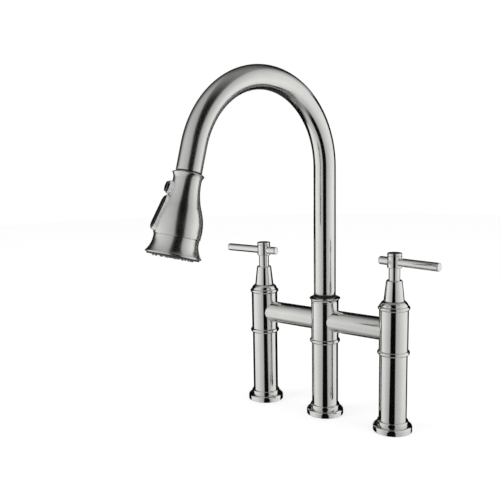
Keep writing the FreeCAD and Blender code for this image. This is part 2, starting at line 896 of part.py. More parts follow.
def spout_path(body, start_z, tip_length):
    """Centre line of the gooseneck: riser, one round bend and a straight tip."""
    sketch = new_sketch(body, "XZ_Plane")
    bend = d.spout_bend_angle
    radius = d.spout_bend_radius
    riser_top = d.spout_riser_top
    bend_x = radius - cosine(bend) * radius
    bend_z = riser_top + sine(bend) * radius
    tip_x = bend_x + sine(bend) * tip_length
    tip_z = bend_z + cosine(bend) * tip_length
    circle = Part.Circle(Vector(radius, riser_top, 0), Vector(0, 0, 1), float(radius))
    riser = sketch.addGeometry(Part.LineSegment(Vector(0, start_z, 0), Vector(0, riser_top, 0)))
    arc = sketch.addGeometry(Part.ArcOfCircle(circle, math.pi - math.radians(bend), math.pi))
    tip = sketch.addGeometry(Part.LineSegment(Vector(bend_x, bend_z, 0), Vector(tip_x, tip_z, 0)))
    hold_point(sketch, riser, 1, 0.0, start_z)
    hold_point(sketch, riser, 2, 0.0, riser_top)
    sketch.addConstraint(Sketcher.Constraint("Coincident", riser, 2, arc, 2))
    sketch.addConstraint(Sketcher.Constraint("Coincident", arc, 1, tip, 1))
    hold_point(sketch, arc, 3, radius, riser_top)
    hold(sketch, "DistanceX", -1, 1, arc, 1, size=bend_x)
    hold_point(sketch, tip, 2, tip_x, tip_z)
    return sketch


def bent_tube(label, outer, inner, start_z, tip_length):
    """Round tube along the gooseneck's centre line."""
    body = new_body(label)
    path = spout_path(body, start_z, tip_length)
    profile = new_sketch(body, "XY_Plane", lift=start_z)
    draw_circle(profile, outer)
    draw_circle(profile, inner)
    pipe = body.newObject("PartDesign::AdditivePipe", "Pipe")
    pipe.Profile = profile
    pipe.Spine = (path, ["Edge1", "Edge2", "Edge3"])
    finish(body, upright(turned=spout_heading))


# The spout's plane stands off the front by its turn towards the hot side.
spout_heading = -90.0 - float(d.spout_turn)
heading = Vector(math.cos(math.radians(spout_heading)), math.sin(math.radians(spout_heading)), 0)
bend_sine = math.sin(math.radians(d.spout_bend_angle))
bend_cosine = math.cos(math.radians(d.spout_bend_angle))
outlet = heading * bend_sine + Vector(0, 0, bend_cosine)
bend_end = heading * (float(d.spout_bend_radius) * (1.0 - bend_cosine))
bend_end = bend_end + Vector(0, 0, float(d.spout_riser_top) + float(d.spout_bend_radius) * bend_sine)
spout_end = bend_end + outlet * float(d.spout_tip_length)

# Head frame: origin at the top of the dock inside the tip, +Z along the outlet, +X to the controls.
outward = heading * (-bend_cosine) + Vector(0, 0, bend_sine)
controls = Rotation(outlet, float(d.head_spin)).multVec(outward)
head_place = Placement(
    spout_end - outlet * float(d.dock_depth),
    Rotation(controls, outlet.cross(controls), outlet, "ZXY"),
)


def drop(length):
    """Height in the head frame of a level measured down from the spout's end."""
    return d.dock_depth + length


def hose_pieces():
    """Hose along the spout, its free tip and ferrule, the dock round it and the nut that joins the head."""
    bent_tube("hose_riser", d.hose_radius, d.hose_bore, d.hose_foot_z, d.spout_tip_length - d.dock_depth)
    turned_piece("hose_tip", ring(d.hose_bore, d.hose_radius, 0.0, d.hose_tip_length), head_place)
    crimp_end = d.hose_tip_length + d.ferrule_crimp
    neck_end = crimp_end + d.ferrule_neck_length
    collar_end = neck_end + d.ferrule_collar_length
    turned_piece("hose_ferrule", [
        (d.ferrule_bore, d.hose_tip_length),
        (d.hose_radius, d.hose_tip_length),
        (d.hose_radius, crimp_end),
        (d.ferrule_neck_radius, crimp_end),
        (d.ferrule_neck_radius, neck_end),
        (d.ferrule_collar_radius, neck_end),
        (d.ferrule_collar_radius, collar_end),
        (d.ferrule_bore, collar_end),
    ], head_place)
    dock_outside = spout_bore - d.slip_fit
    guide_top = d.dock_inset + d.dock_guide_height
    guide_bore = d.hose_radius + d.running_gap
    turned_piece("dock_bush", [
        (guide_bore, d.dock_inset),
        (dock_outside, d.dock_inset),
        (dock_outside, drop(d.dock_lip)),
        (dock_outside - d.dock_wall, drop(d.dock_lip)),
        (dock_outside - d.dock_wall, guide_top),
        (guide_bore, guide_top),
    ], head_place)
    nut_top = crimp_end + d.running_gap
    nut_seat = neck_end - d.running_gap
    thread_start = drop(d.head_gap)
    neck_bore = d.ferrule_neck_radius + d.running_fit
    collar_bore = d.ferrule_collar_radius + d.running_fit
    thread_end = thread_start + d.nut_thread_length
    turned_piece("hose_nut", [
        (neck_bore, nut_top),
        (d.nut_nose_radius, nut_top),
        (d.nut_radius, nut_top + d.nut_nose_length),
        (d.nut_radius, thread_start),
        (d.nut_thread_radius, thread_start),
        (d.nut_thread_radius, thread_end),
        (collar_bore, thread_end),
        (collar_bore, nut_seat),
        (neck_bore, nut_seat),
    ], head_place)


def spout_bush():
    """Plastic bush pressed into the spout's foot, which turns on the spigot."""
    base = spout_foot + d.spout_bush_lift
    bore = d.spout_spigot_radius + d.running_fit
    turned_piece("spout_bush", ring(bore, spout_bore - d.slip_fit, base, base + d.spout_bush_height))


def head_collar():
    """Lipped collar that meets the spout's end."""
    bore = d.core_neck_radius + d.slip_fit
    top = drop(d.head_gap)
    base = drop(d.head_collar_length)
    lip = drop(d.head_collar_lip_drop)
    turned_piece("head_collar", [
        (bore, top),
        (bore, base),
        (d.shell_neck_radius, base, d.head_collar_cove, -1),
        (d.head_collar_lip_radius, lip, d.head_collar_round, 1),
        (d.head_collar_mouth_radius, top),
    ], head_place)


# The spool's notch is centred on the length of the rocker's tilted peg that lies inside the spool.
peg_entry = (d.rocker_face_radius - d.spool_offset - d.spool_radius) / cosine(d.rocker_tilt)
peg_middle = (peg_entry + d.rocker_peg_depth) / 2
spool_middle = d.rocker_drop + sine(d.rocker_tilt) * peg_middle


def head_core():
    """Water way of the head: a socket for the nut, a valve section and a flange that carries the skirt."""
    body = new_body("head_core")
    socket = d.nut_thread_radius + d.slip_fit
    socket_end = drop(d.head_gap) + d.nut_thread_length + d.slip_fit
    flange_base = drop(skirt_base)
    flange_top = flange_base - d.core_flange_thickness
    turn(body, [
        (socket, drop(d.head_gap)),
        (socket, socket_end),
        (d.core_channel_radius, socket_end),
        (d.core_channel_radius, drop(d.core_end_drop)),
        (d.core_valve_radius, drop(d.core_end_drop)),
        (d.core_valve_radius, flange_base),
        (d.core_flange_radius, flange_base),
        (d.core_flange_radius, flange_top),
        (d.core_valve_radius, flange_top),
        (d.core_valve_radius, drop(d.core_valve_drop)),
        (d.core_waist_radius, drop(d.core_valve_drop)),
        (d.core_waist_radius, drop(d.core_waist_drop)),
        (d.core_neck_radius, drop(d.core_waist_drop)),
        (d.core_neck_radius, drop(d.head_gap)),
    ])
    spool_top = drop(spool_middle) - d.spool_length / 2 - d.spool_travel
    sketch = new_sketch(body, "XY_Plane", lift=spool_top)
    draw_circle(sketch, d.spool_radius + d.running_fit, d.spool_offset, 0.0)
    extrude(body, sketch, drop(d.core_end_drop) - spool_top, cut=True, flip=True)
    window_mouth = d.core_valve_radius + d.running_gap
    window_width = (d.rocker_peg_radius + d.running_gap) * 2
    sketch = new_sketch(body, "YZ_Plane", lift=window_mouth, shift=drop(spool_middle))
    draw_stadium(sketch, window_width + d.spool_travel * 3, window_width)
    extrude(body, sketch, window_mouth - d.spool_offset, cut=True)
    sketch = button_sketch(body, 0.0)
    draw_circle(sketch, d.button_stem_radius + d.running_fit)
    extrude(body, sketch, d.button_depth + d.button_stem_length + d.button_travel + d.running_gap, cut=True)
    finish(body, head_place)


def control_sketch(body, face_radius, level, tilt, depth):
    """Sketch square to a control's push, a given depth below its face."""
    lift = face_radius - cosine(tilt) * depth
    shift = drop(level) + sine(tilt) * depth
    return new_sketch(body, "YZ_Plane", lift=lift, shift=shift, tilt=tilt)


def rocker_sketch(body, depth):
    """Sketch square to the rocker's push."""
    return control_sketch(body, d.rocker_face_radius, d.rocker_drop, d.rocker_tilt, depth)


def button_sketch(body, depth):
    """Sketch square to the pause button's push."""
    return control_sketch(body, d.button_face_radius, d.button_drop, d.button_tilt, depth)


rocker_slot_length = d.rocker_length + (d.bezel_gap + d.bezel_wall) * 2
rocker_slot_width = d.rocker_width + (d.bezel_gap + d.bezel_wall) * 2
button_hole_radius = d.button_radius + d.bezel_gap + d.bezel_wall


def head_shell():
    """Bell-shaped shell with a long slot for the rocker's bezel and a round hole for the button's."""
    body = new_body("head_shell")
    wall = d.shell_wall
    turn(body, [
        (d.shell_neck_radius, drop(d.head_collar_length)),
        (d.shell_neck_radius - wall, drop(d.head_collar_length)),
        (d.shell_neck_radius - wall, drop(d.shell_neck_drop), d.shell_flare_radius + wall, 1),
        (d.shell_waist_radius - wall, drop(d.shell_waist_drop), d.shell_belly_round - wall, -1),
        (d.shell_belly_radius - wall, drop(d.shell_belly_drop), d.shell_rim_round - wall, -1),
        (d.shell_rim_radius - wall, drop(d.shell_rim_drop)),
        (d.shell_rim_radius, drop(d.shell_rim_drop), d.shell_rim_round, 1),
        (d.shell_belly_radius, drop(d.shell_belly_drop), d.shell_belly_round, 1),
        (d.shell_waist_radius, drop(d.shell_waist_drop), d.shell_flare_radius, -1),
        (d.shell_neck_radius, drop(d.shell_neck_drop)),
    ])
    sketch = rocker_sketch(body, 0.0)
    draw_stadium(sketch, rocker_slot_length + d.slip_fit * 2, rocker_slot_width + d.slip_fit * 2)
    extrude(body, sketch, d.rocker_bezel_depth * 2, cut=True)
    sketch = button_sketch(body, 0.0)
    draw_circle(sketch, button_hole_radius + d.slip_fit)
    extrude(body, sketch, d.button_face_radius - d.core_neck_radius, cut=True)
    finish(body, head_place)


def head_skirt():
    """Flared skirt that spigots into the shell and holds the spray face."""
    top = drop(skirt_base)
    spigot_radius = d.shell_rim_radius - d.shell_wall - d.slip_fit * 2
    bore = d.core_flange_radius + d.slip_fit
    outside = d.shell_rim_radius - d.skirt_step
    neck_end = top + d.skirt_shoulder
    seat = drop(face_bottom) - d.face_thickness
    mouth = d.skirt_rim_radius - d.skirt_wall
    turned_piece("head_skirt", [
        (bore, top - d.skirt_spigot_length),
        (bore, neck_end),
        (outside - d.skirt_wall, neck_end),
        (mouth - d.skirt_wall * 2, seat),
        (mouth, seat),
        (mouth, drop(skirt_bottom)),
        (d.skirt_rim_radius, drop(skirt_bottom)),
        (d.skirt_rim_radius, drop(d.skirt_rim_drop), d.skirt_flare_radius, -1),
        (outside, neck_end),
        (outside, top),
        (spigot_radius, top),
        (spigot_radius, top - d.skirt_spigot_length),
    ], head_place)


def spray_face():
    """Dark face plate with a boss to the core and a seat for the aerator."""
    radius = d.skirt_rim_radius - d.skirt_wall - d.slip_fit
    base = drop(face_bottom)
    seat = base - d.aerator_seat
    aerator_bore = d.aerator_radius + d.slip_fit
    turned_piece("spray_face", [
        (0.0, drop(d.core_end_drop)),
        (0.0, seat),
        (aerator_bore, seat),
        (aerator_bore, base),
        (radius - d.face_edge_round, base, d.face_edge_round, 1),
        (radius, base - d.face_edge_round),
        (radius, base - d.face_thickness),
        (d.face_boss_radius, base - d.face_thickness),
        (d.face_boss_radius, drop(d.core_end_drop)),
    ], head_place)


def aerator():
    """Dished aerator in the middle of the spray face."""
    base = drop(face_bottom)
    rim = d.aerator_radius - d.aerator_rim
    turned_piece("aerator", [
        (0.0, base - d.aerator_seat),
        (0.0, base),
        (rim, base),
        (rim, base + d.aerator_proud),
        (d.aerator_radius, base + d.aerator_proud),
        (d.aerator_radius, base - d.aerator_seat),
    ], head_place)


def nozzles():
    """Two circles of tapered rubber nozzles on the spray face."""
    cones = []
    for circle, count in ((d.inner_nozzle_circle, INNER_NOZZLES), (d.outer_nozzle_circle, OUTER_NOZZLES)):
        for index in range(count):
            angle = 2.0 * math.pi * index / count
            foot = Vector(circle * math.cos(angle), circle * math.sin(angle), drop(face_bottom))
            cones.append(Part.makeCone(d.nozzle_radius, d.nozzle_tip_radius, d.nozzle_height, foot))
    feature = doc.addObject("Part::Feature", "spray_nozzles")
    feature.Label = "spray_nozzles"
    feature.Shape = Part.makeCompound(cones)
    finish(feature, head_place)


def outer_edges(feature, direction):
    """Names of a feature's edges that lie furthest along a direction."""
    heights = [edge.CenterOfMass.dot(direction) for edge in feature.Shape.Edges]
    highest = max(heights)
    return [f"Edge{index + 1}" for index, height in enumerate(heights) if highest - height < 1e-3]


def round_face(body, feature, radius, tilt):
    """Round the outer edge of a control's face."""
    doc.recompute()
    lean = math.radians(tilt)
    names = outer_edges(feature, Vector(math.cos(lean), 0, -math.sin(lean)))
    fillet = body.newObject("PartDesign::Fillet", "Rounded")
    fillet.Base = (feature, names)
    bind(fillet, "Radius", radius)


def rocker_bezel():
    """Bright bezel round the rocker, bored for its pin."""
    body = new_body("rocker_bezel")
    sketch = rocker_sketch(body, d.rocker_bezel_depth)
    draw_stadium(sketch, rocker_slot_length, rocker_slot_width)
    draw_stadium(sketch, d.rocker_length + d.bezel_gap * 2, d.rocker_width + d.bezel_gap * 2)
    extrude(body, sketch, d.rocker_bezel_depth - d.rocker_bezel_drop)
    bore_for_pin(body, d.rocker_pin_radius + d.slip_fit)
    finish(body, head_place)


def pin_centre():
    """Place of the rocker's pin in the head frame, as radius and height."""
    radius = d.rocker_face_radius - cosine(d.rocker_tilt) * d.rocker_pin_depth
    height = drop(d.rocker_drop) + sine(d.rocker_tilt) * d.rocker_pin_depth
    return radius, height


def bore_for_pin(body, radius):
    """Cross hole for the rocker's pin."""
    across, along = pin_centre()
    sketch = new_sketch(body, "XZ_Plane")
    draw_circle(sketch, radius, across, along)
    extrude(body, sketch, rocker_slot_width * 2, cut=True, both=True)


def rocker_pin():
    """Pin that the rocker tips on, held in the bezel's sides."""
    body = new_body("rocker_pin")
    across, along = pin_centre()
    sketch = new_sketch(body, "XZ_Plane")
    draw_circle(sketch, d.rocker_pin_radius, across, along)
    extrude(body, sketch, rocker_slot_width - d.slip_fit * 2, both=True)
    finish(body, head_place)


def rocker():
    """Long rocker with a rounded face, a boss on the pin and the peg that shifts the spool."""
    body = new_body("rocker")
    sketch = rocker_sketch(body, d.rocker_thickness)
    draw_stadium(sketch, d.rocker_length, d.rocker_width)
    pad = extrude(body, sketch, d.rocker_thickness)
    round_face(body, pad, d.rocker_edge_round, d.rocker_tilt)
    sketch = rocker_sketch(body, d.rocker_thickness)
    draw_stadium(sketch, d.rocker_width - d.bezel_gap, d.rocker_boss_length)
    extrude(body, sketch, d.rocker_boss_depth, flip=True)
    sketch = rocker_sketch(body, d.rocker_thickness)
    draw_circle(sketch, d.rocker_peg_radius)
    extrude(body, sketch, d.rocker_peg_depth - d.rocker_thickness, flip=True)
    bore_for_pin(body, d.rocker_pin_radius + d.running_fit)
    finish(body, head_place)


def button_bezel():
    """Bright bezel round the pause button."""
    body = new_body("button_bezel")
    sketch = button_sketch(body, d.button_bezel_depth)
    draw_circle(sketch, button_hole_radius)
    draw_circle(sketch, d.button_radius + d.bezel_gap)
    extrude(body, sketch, d.button_bezel_depth - d.button_bezel_drop)
    finish(body, head_place)


def pause_button():
    """Round push button with a stem into the core."""
    body = new_body("pause_button")
    sketch = button_sketch(body, d.button_depth)
    draw_circle(sketch, d.button_radius)
    pad = extrude(body, sketch, d.button_depth)
    round_face(body, pad, d.button_edge_round, d.button_tilt)
    sketch = button_sketch(body, d.button_depth)
    draw_circle(sketch, d.button_stem_radius)
    extrude(body, sketch, d.button_stem_length, flip=True)
    finish(body, head_place)


def diverter_spool():
    """Spool with a waist that the rocker's peg works in."""
    half = d.spool_length / 2
    notch = d.rocker_peg_radius + d.running_gap + d.running_fit
    middle = drop(spool_middle)
    beside = head_place.multiply(Placement(Vector(d.spool_offset, 0, 0), Rotation()))
    turned_piece("diverter_spool", [
        (0.0, middle - half),
        (d.spool_radius, middle - half),
        (d.spool_radius, middle - notch),
        (d.spool_waist_radius, middle - notch),
        (d.spool_waist_radius, middle + notch),
        (d.spool_radius, middle + notch),
        (d.spool_radius, middle + half),
        (0.0, middle + half),
    ], beside)


def build_columns():
    """Three columns on the deck and the bridge between them."""
    spacing = float(d.column_spacing)
    base_flange("centre_base_flange", upright())
    centre_post()
    tee_body()
    side_column("left", -spacing, 0.0, 0.0)
    side_column("right", spacing, 180.0, 180.0 - float(d.right_lever_turn))
    stations = (-spacing, 0.0, spacing)
    group("base_gaskets", [base_gasket(f"gasket_{index}", upright(x)) for index, x in enumerate(stations)])
    group("column_beads", [column_bead(f"bead_{index}", upright(x)) for index, x in enumerate(stations)])
    seat_bore = cartridge_radius - d.seat_seal_width
    seat_outline = ring(seat_bore, cartridge_radius - d.slip_fit, seat_z, cartridge_base)
    valves = [("left", upright(-spacing)), ("right", upright(spacing))]
    group("seat_seals", [turned_piece(f"{side}_seat_seal", seat_outline, place) for side, place in valves])
    group("fixed_discs", [
        valve_disc(f"{side}_fixed_disc", disc_radius, cartridge_base, place) for side, place in valves
    ])
    bridge_tube("left_bridge_tube", -spacing)
    bridge_tube("right_bridge_tube", 0.0)
    seal_x = float(d.body_radius + d.spigot_length - d.seal_lip - d.seal_groove_width / 2)
    seal_stations = (seal_x - spacing, -seal_x, seal_x, spacing - seal_x)
    group("bridge_seals", [seal_ring(f"seal_{index}", x) for index, x in enumerate(seal_stations)])


def build_spout():
    """Swivel spout on the centre column, with the hose inside it."""
    hose_sleeve()
    spout_spigot()
    spout_collar()
    washer_bore = spigot_root_radius + d.slip_fit
    turned_piece("spout_washer", ring(washer_bore, washer_radius, collar_top, washer_top))
    bent_tube("spout_tube", d.spout_radius, spout_bore, spout_foot, d.spout_tip_length)
    spout_bush()
    hose_pieces()


def build_head():
    """Spray head and its controls."""
    for make in (head_collar, head_core, head_shell, head_skirt, spray_face, aerator, nozzles,
                 rocker_bezel, rocker_pin, rocker, button_bezel, pause_button, diverter_spool):
        make()


def check_model():
    """Stop if any object failed or any sub-part has no sound shape."""
    doc.recompute()
    for item in doc.Objects:
        faults = [state for state in item.State if state in ("Invalid", "Error")]
        if faults:
            raise RuntimeError(f"{item.Label} is {faults}")
    for part in pieces:
        if part.Shape.isNull() or not part.Shape.isValid() or not part.Shape.Solids:
            raise RuntimeError(f"{part.Label} has no sound shape")


def write_parts():
    """Write each sub-part to its own file."""
    os.makedirs("parts", exist_ok=True)
    for part in pieces:
        part.Shape.exportStep(f"parts/{part.Label}.step")
        print(f"{part.Label}: {len(part.Shape.Solids)} solids, {part.Shape.Volume / 1000.0:.2f} cm3")
    print(f"{len(pieces)} nodes")


build_columns()
build_spout()
build_head()
check_model()
write_parts()
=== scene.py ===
# %% [markdown]
# # Bridge faucet with a pull-down spray head
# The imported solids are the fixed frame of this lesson. They already have the right sizes and places, and
# smooth normals, so all but the spout tube and the hose keep their meshes. What they lack is finish:
# brushed nickel, black mouldings, rubber and braid, and the light of a studio in which bright metal gets
# its dark stripes.

# %% Load the frame
import json
import math

import bpy
import numpy as np
from mathutils import Matrix, Vector


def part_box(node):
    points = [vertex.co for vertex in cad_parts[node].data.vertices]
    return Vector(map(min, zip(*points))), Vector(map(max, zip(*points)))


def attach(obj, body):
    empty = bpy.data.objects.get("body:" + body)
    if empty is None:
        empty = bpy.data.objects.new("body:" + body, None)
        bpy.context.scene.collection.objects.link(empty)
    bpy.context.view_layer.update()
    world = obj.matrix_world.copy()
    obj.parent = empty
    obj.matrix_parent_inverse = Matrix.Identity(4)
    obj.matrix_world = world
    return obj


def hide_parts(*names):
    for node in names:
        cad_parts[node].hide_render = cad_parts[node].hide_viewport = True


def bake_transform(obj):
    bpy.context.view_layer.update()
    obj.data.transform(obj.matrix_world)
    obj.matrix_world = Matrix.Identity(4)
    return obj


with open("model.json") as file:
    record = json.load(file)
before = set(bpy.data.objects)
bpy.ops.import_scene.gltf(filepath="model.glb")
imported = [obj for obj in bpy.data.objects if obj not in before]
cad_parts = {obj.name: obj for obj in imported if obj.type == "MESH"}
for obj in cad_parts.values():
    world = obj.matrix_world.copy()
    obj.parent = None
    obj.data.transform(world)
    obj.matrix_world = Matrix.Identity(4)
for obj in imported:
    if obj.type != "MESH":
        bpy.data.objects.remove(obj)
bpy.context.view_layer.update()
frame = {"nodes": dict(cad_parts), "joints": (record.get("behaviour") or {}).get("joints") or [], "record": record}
nodes = frame["nodes"]

# %% [markdown]
# ## Camera
# The picture was taken from the right front, a little above the bridge. A camera could be aimed by eye,
# but then few edges would fall where they do in the photograph. The place and the two directions below
# come from fitting the three column axes and their flanges. A camera's own axes are right, up and
# backwards, which are the columns of its matrix.

# %% Camera
CAMERA_PLACE = Vector((0.4659, -0.7623, 0.3578))
CAMERA_RIGHT = Vector((0.7910, 0.6116, -0.0181))
CAMERA_UP = Vector((-0.0737, 0.1247, 0.9895))
FOCAL_PIXELS = 670.0
FRAME_PIXELS = 500.0
SENSOR_MM = 36.0


def make_camera():
    """Camera at the fitted place, its lens worked out from the focal length in pixels."""
    right = CAMERA_RIGHT.normalized()
    back = right.cross(CAMERA_UP).normalized()
    up = back.cross(right)
    data = bpy.data.cameras.new("camera")
    data.sensor_width = SENSOR_MM
    data.lens = SENSOR_MM * FOCAL_PIXELS / FRAME_PIXELS
    camera = bpy.data.objects.new("camera", data)
    turn = Matrix((right, up, back)).transposed()
    camera.matrix_world = Matrix.Translation(CAMERA_PLACE) @ turn.to_4x4()
    bpy.context.scene.collection.objects.link(camera)
    bpy.context.scene.camera = camera
    return camera


camera = make_camera()
print(f"camera: {camera.data.lens:.1f} mm lens")

# %% [markdown]
# ## Surfaces from arrays
# The neck, the hose, the floor and the studio's cards are all surfaces that a formula describes. Blender's
# curves and primitives could make them too, but a grid of points gives a say over every ring. This helper
# turns such a grid into a mesh: rows and columns become quads, and either direction can close on itself.
# The two grid parameters are kept as a UV map, so that a pattern can follow the surface.


# %% Grid to mesh
def cell_corners(grid):
    """The four corners of every cell of a grid, in order round the cell."""
    return np.stack([grid[:-1, :-1], grid[:-1, 1:], grid[1:, 1:], grid[1:, :-1]], axis=2)


def grid_mesh(name, points, close_u=False, close_v=False, material=None):
    """Mesh object from points of shape (rows, columns, 3). In its UV map, u grows from row to row and v
    from column to column."""
    rows, columns = points.shape[:2]
    index = np.arange(rows * columns).reshape(rows, columns)
    if close_u:
        index = np.vstack([index, index[:1]])
    if close_v:
        index = np.hstack([index, index[:, :1]])
    u, v = np.meshgrid(*(np.linspace(0.0, 1.0, count) for count in index.shape), indexing="ij")
    corners = cell_corners(np.stack([u, v], axis=-1))
    mesh = bpy.data.meshes.new(name)
    mesh.from_pydata(points.reshape(-1, 3).tolist(), [], cell_corners(index).reshape(-1, 4).tolist())
    mesh.uv_layers.new(name="surface").data.foreach_set("uv", corners.astype(np.float32).ravel())
    mesh.shade_smooth()
    piece = bpy.data.objects.new(name, mesh)
    bpy.context.scene.collection.objects.link(piece)
    if material:
        mesh.materials.append(material)
    return piece


print("grid helper ready")

# %% [markdown]
# ## Nodes in few words
# Shader trees could be wired node by node, but they are easier to read when a node and its links are made
# in one line. `add` makes a node, sets its values and links its inputs, `calculate` is one step of
# arithmetic on sockets and numbers, `parts` takes a vector apart, and `ramp` is a grey colour ramp.


# %% Node helpers
def add(tree, kind, values=None, links=None, **settings):
    """New node: settings are its properties, values its socket values and links its incoming sockets."""
    node = tree.nodes.new(kind)
    for name, value in settings.items():
        setattr(node, name, value)
    for socket, value in (values or {}).items():
        node.inputs[socket].default_value = value
    for socket, source in (links or {}).items():
        tree.links.new(source, node.inputs[socket])
    return node


def calculate(tree, operation, *terms, clamp=False):
    """Output of a Math node whose terms are sockets or plain numbers."""
    node = add(tree, "ShaderNodeMath", operation=operation, use_clamp=clamp)
    for socket, term in zip(node.inputs, terms):
        if isinstance(term, float):
            socket.default_value = term
        else:
            tree.links.new(term, socket)
    return node.outputs[0]


def parts(tree, vector):
    """The X, Y and Z outputs of a vector."""
    return add(tree, "ShaderNodeSeparateXYZ", {}, {0: vector}).outputs


def ramp(tree, source, stops):
    """Colour ramp through (position, grey) stops."""
    node = add(tree, "ShaderNodeValToRGB", {}, {"Fac": source})
    elements = node.color_ramp.elements
    while len(elements) < len(stops):
        elements.new(0.5)
    for element, (position, grey) in zip(elements, stops):
        element.position = position
        element.color = (grey, grey, grey, 1.0)
    return node.outputs["Color"]


def empty_material(name):
    """Material with an empty node tree."""
    material = bpy.data.materials.new(name)
    material.use_nodes = True
    material.node_tree.nodes.clear()
    return material, material.node_tree


print("node helpers ready")

# %% [markdown]
# ## White surround
# Bright metal has no look of its own: it shows the room, and this room is white on every side. It could be
# a tent of lamps or a panorama, but a plain white world does the same with nothing to place or load. It is
# at strength 1 for what the camera and the reflections see, and softer where it lights matt surfaces, so
# that rubber and plastic keep their shape.

# %% White surround
WHITE = (1.0, 1.0, 1.0, 1.0)
SURROUND_SEEN = 1.0
SURROUND_ON_MATT = 0.7


def make_world():
    """World with one strength for camera, glossy and transmission rays, and a softer one for the others."""
    world = bpy.data.worlds.new("studio")
    bpy.context.scene.world = world
    world.use_nodes = True
    tree = world.node_tree
    tree.nodes.clear()
    path = add(tree, "ShaderNodeLightPath").outputs
    seen = calculate(tree, "MAXIMUM", path["Is Camera Ray"], path["Is Glossy Ray"])
    seen = calculate(tree, "MAXIMUM", seen, path["Is Transmission Ray"])
    bright = add(tree, "ShaderNodeBackground", {"Color": WHITE, "Strength": SURROUND_SEEN})
    soft = add(tree, "ShaderNodeBackground", {"Color": WHITE, "Strength": SURROUND_ON_MATT})
    mixed = add(tree, "ShaderNodeMixShader", {}, {0: seen, 1: soft.outputs[0], 2: bright.outputs[0]})
    add(tree, "ShaderNodeOutputWorld", {}, {"Surface": mixed.outputs[0]})
    return world


bpy.context.scene.view_settings.view_transform = "Standard"
print("world:", make_world().name)

# %% [markdown]
# ## Floor
# The faucet stands on white paper that shows only a faint shadow. Pure white paper would need its light
# set very closely to come out white and no brighter, and a shadow catcher would leave no paper at all. So
# the floor is grey paper with part of its white as a glow of its own, and a shadow takes away only what
# the light gives. Reflections look past the floor to the surround.

# %% Floor
FLOOR_RADIUS = 3.0
FLOOR_MIDDLE = 0.001
FLOOR_RINGS = 4
FLOOR_SIDES = 96
FLOOR_PAPER = (0.5, 0.5, 0.5, 1.0)
FLOOR_GLOW = 0.62


def floor_material():
    """Grey paper plus a white glow, which together come out white where no shadow falls."""
    material, tree = empty_material("pale_floor")
    paper = add(tree, "ShaderNodeBsdfDiffuse", {"Color": FLOOR_PAPER})
    glow = add(tree, "ShaderNodeEmission", {"Color": WHITE, "Strength": FLOOR_GLOW})
    both = add(tree, "ShaderNodeAddShader", {}, {0: paper.outputs[0], 1: glow.outputs[0]})
    add(tree, "ShaderNodeOutputMaterial", {}, {"Surface": both.outputs[0]})
    return material


def make_floor():
    """Round floor: the radius grows from row to row and the angle goes round the columns."""
    angle = np.linspace(0.0, 2.0 * np.pi, FLOOR_SIDES, endpoint=False)
    radius = np.linspace(FLOOR_MIDDLE, FLOOR_RADIUS, FLOOR_RINGS)[:, None]
    level = np.zeros((FLOOR_RINGS, FLOOR_SIDES))
    points = np.stack([radius * np.cos(angle), radius * np.sin(angle), level], axis=-1)
    floor = grid_mesh("floor", points, close_v=True, material=floor_material())
    floor.visible_glossy = False
    return floor


floor = make_floor()
print("floor:", len(floor.data.polygons), "faces")

# %% [markdown]
# ## Flag cards
# The photograph's stripes say what else stood in the room: black cards, which photographers call flags.
# The stripes could be painted on the tubes, but then they would turn with the spout and the handles, and
# reflections don't. So these are real cards that only reflections see. They are graded, as flags with
# soft edges are.

# %% Card material
CARD_BLACK = (0.004, 0.004, 0.004, 1.0)


def flag_material(name, stops, fade=None):
    """Black card that lets light through by a ramp from column to column, where 1 is fully dark. A second
    ramp may fade it from row to row."""
    material, tree = empty_material(name)
    place = parts(tree, add(tree, "ShaderNodeUVMap", uv_map="surface").outputs[0])
    dark = ramp(tree, place["Y"], stops)
    if fade:
        dark = calculate(tree, "MULTIPLY", dark, ramp(tree, place["X"], fade))
    clear = add(tree, "ShaderNodeBsdfTransparent")
    black = add(tree, "ShaderNodeBsdfDiffuse", {"Color": CARD_BLACK})
    mixed = add(tree, "ShaderNodeMixShader", {}, {0: dark, 1: clear.outputs[0], 2: black.outputs[0]})
    add(tree, "ShaderNodeOutputMaterial", {}, {"Surface": mixed.outputs[0]})
    return material


def stage_card(name, points, stops, fade=None):
    """Card for reflections alone: not seen by the camera, and no shade on matt surfaces."""
    card = grid_mesh(name, points, material=flag_material(name, stops, fade))
    card.visible_camera = False
    card.visible_diffuse = False
    card.visible_shadow = False
    return card


print("card helpers ready")

# %% [markdown]
# ## Places of the cards
# A dark strip in line with the lens gives the black stripe down the middle of every tube. Cards behind the
# faucet, above it and below it draw the black lines along the tubes' edges. They could be flat boards, but
# here each lies on a ball round the faucet, so a direction of reflection is a place on the card and the
# stripes can be set by angle.

# %% Places of the cards
MIDDLE_Z = 0.2
CARD_COLUMNS = 61
CARD_ROWS = 31
toward_camera = Vector((CAMERA_PLACE.x, CAMERA_PLACE.y, 0.0)).normalized()
camera_bearing = math.atan2(toward_camera.y, toward_camera.x)


def edge_flag(name, radius, bearings, heights, stops):
    """Card beside the faucet: its columns run over bearings from the lens, to the right where positive,
    and its rows over heights above the horizon, all in degrees."""
    bearing = camera_bearing + np.radians(np.linspace(*bearings, CARD_COLUMNS))
    height = np.radians(np.linspace(*heights, CARD_ROWS))[:, None]
    flat = radius * np.cos(height)
    rise = np.broadcast_to(radius * np.sin(height), (CARD_ROWS, CARD_COLUMNS))
    points = np.stack([flat * np.cos(bearing), flat * np.sin(bearing), rise + MIDDLE_Z], axis=-1)
    return stage_card(name, points, stops)


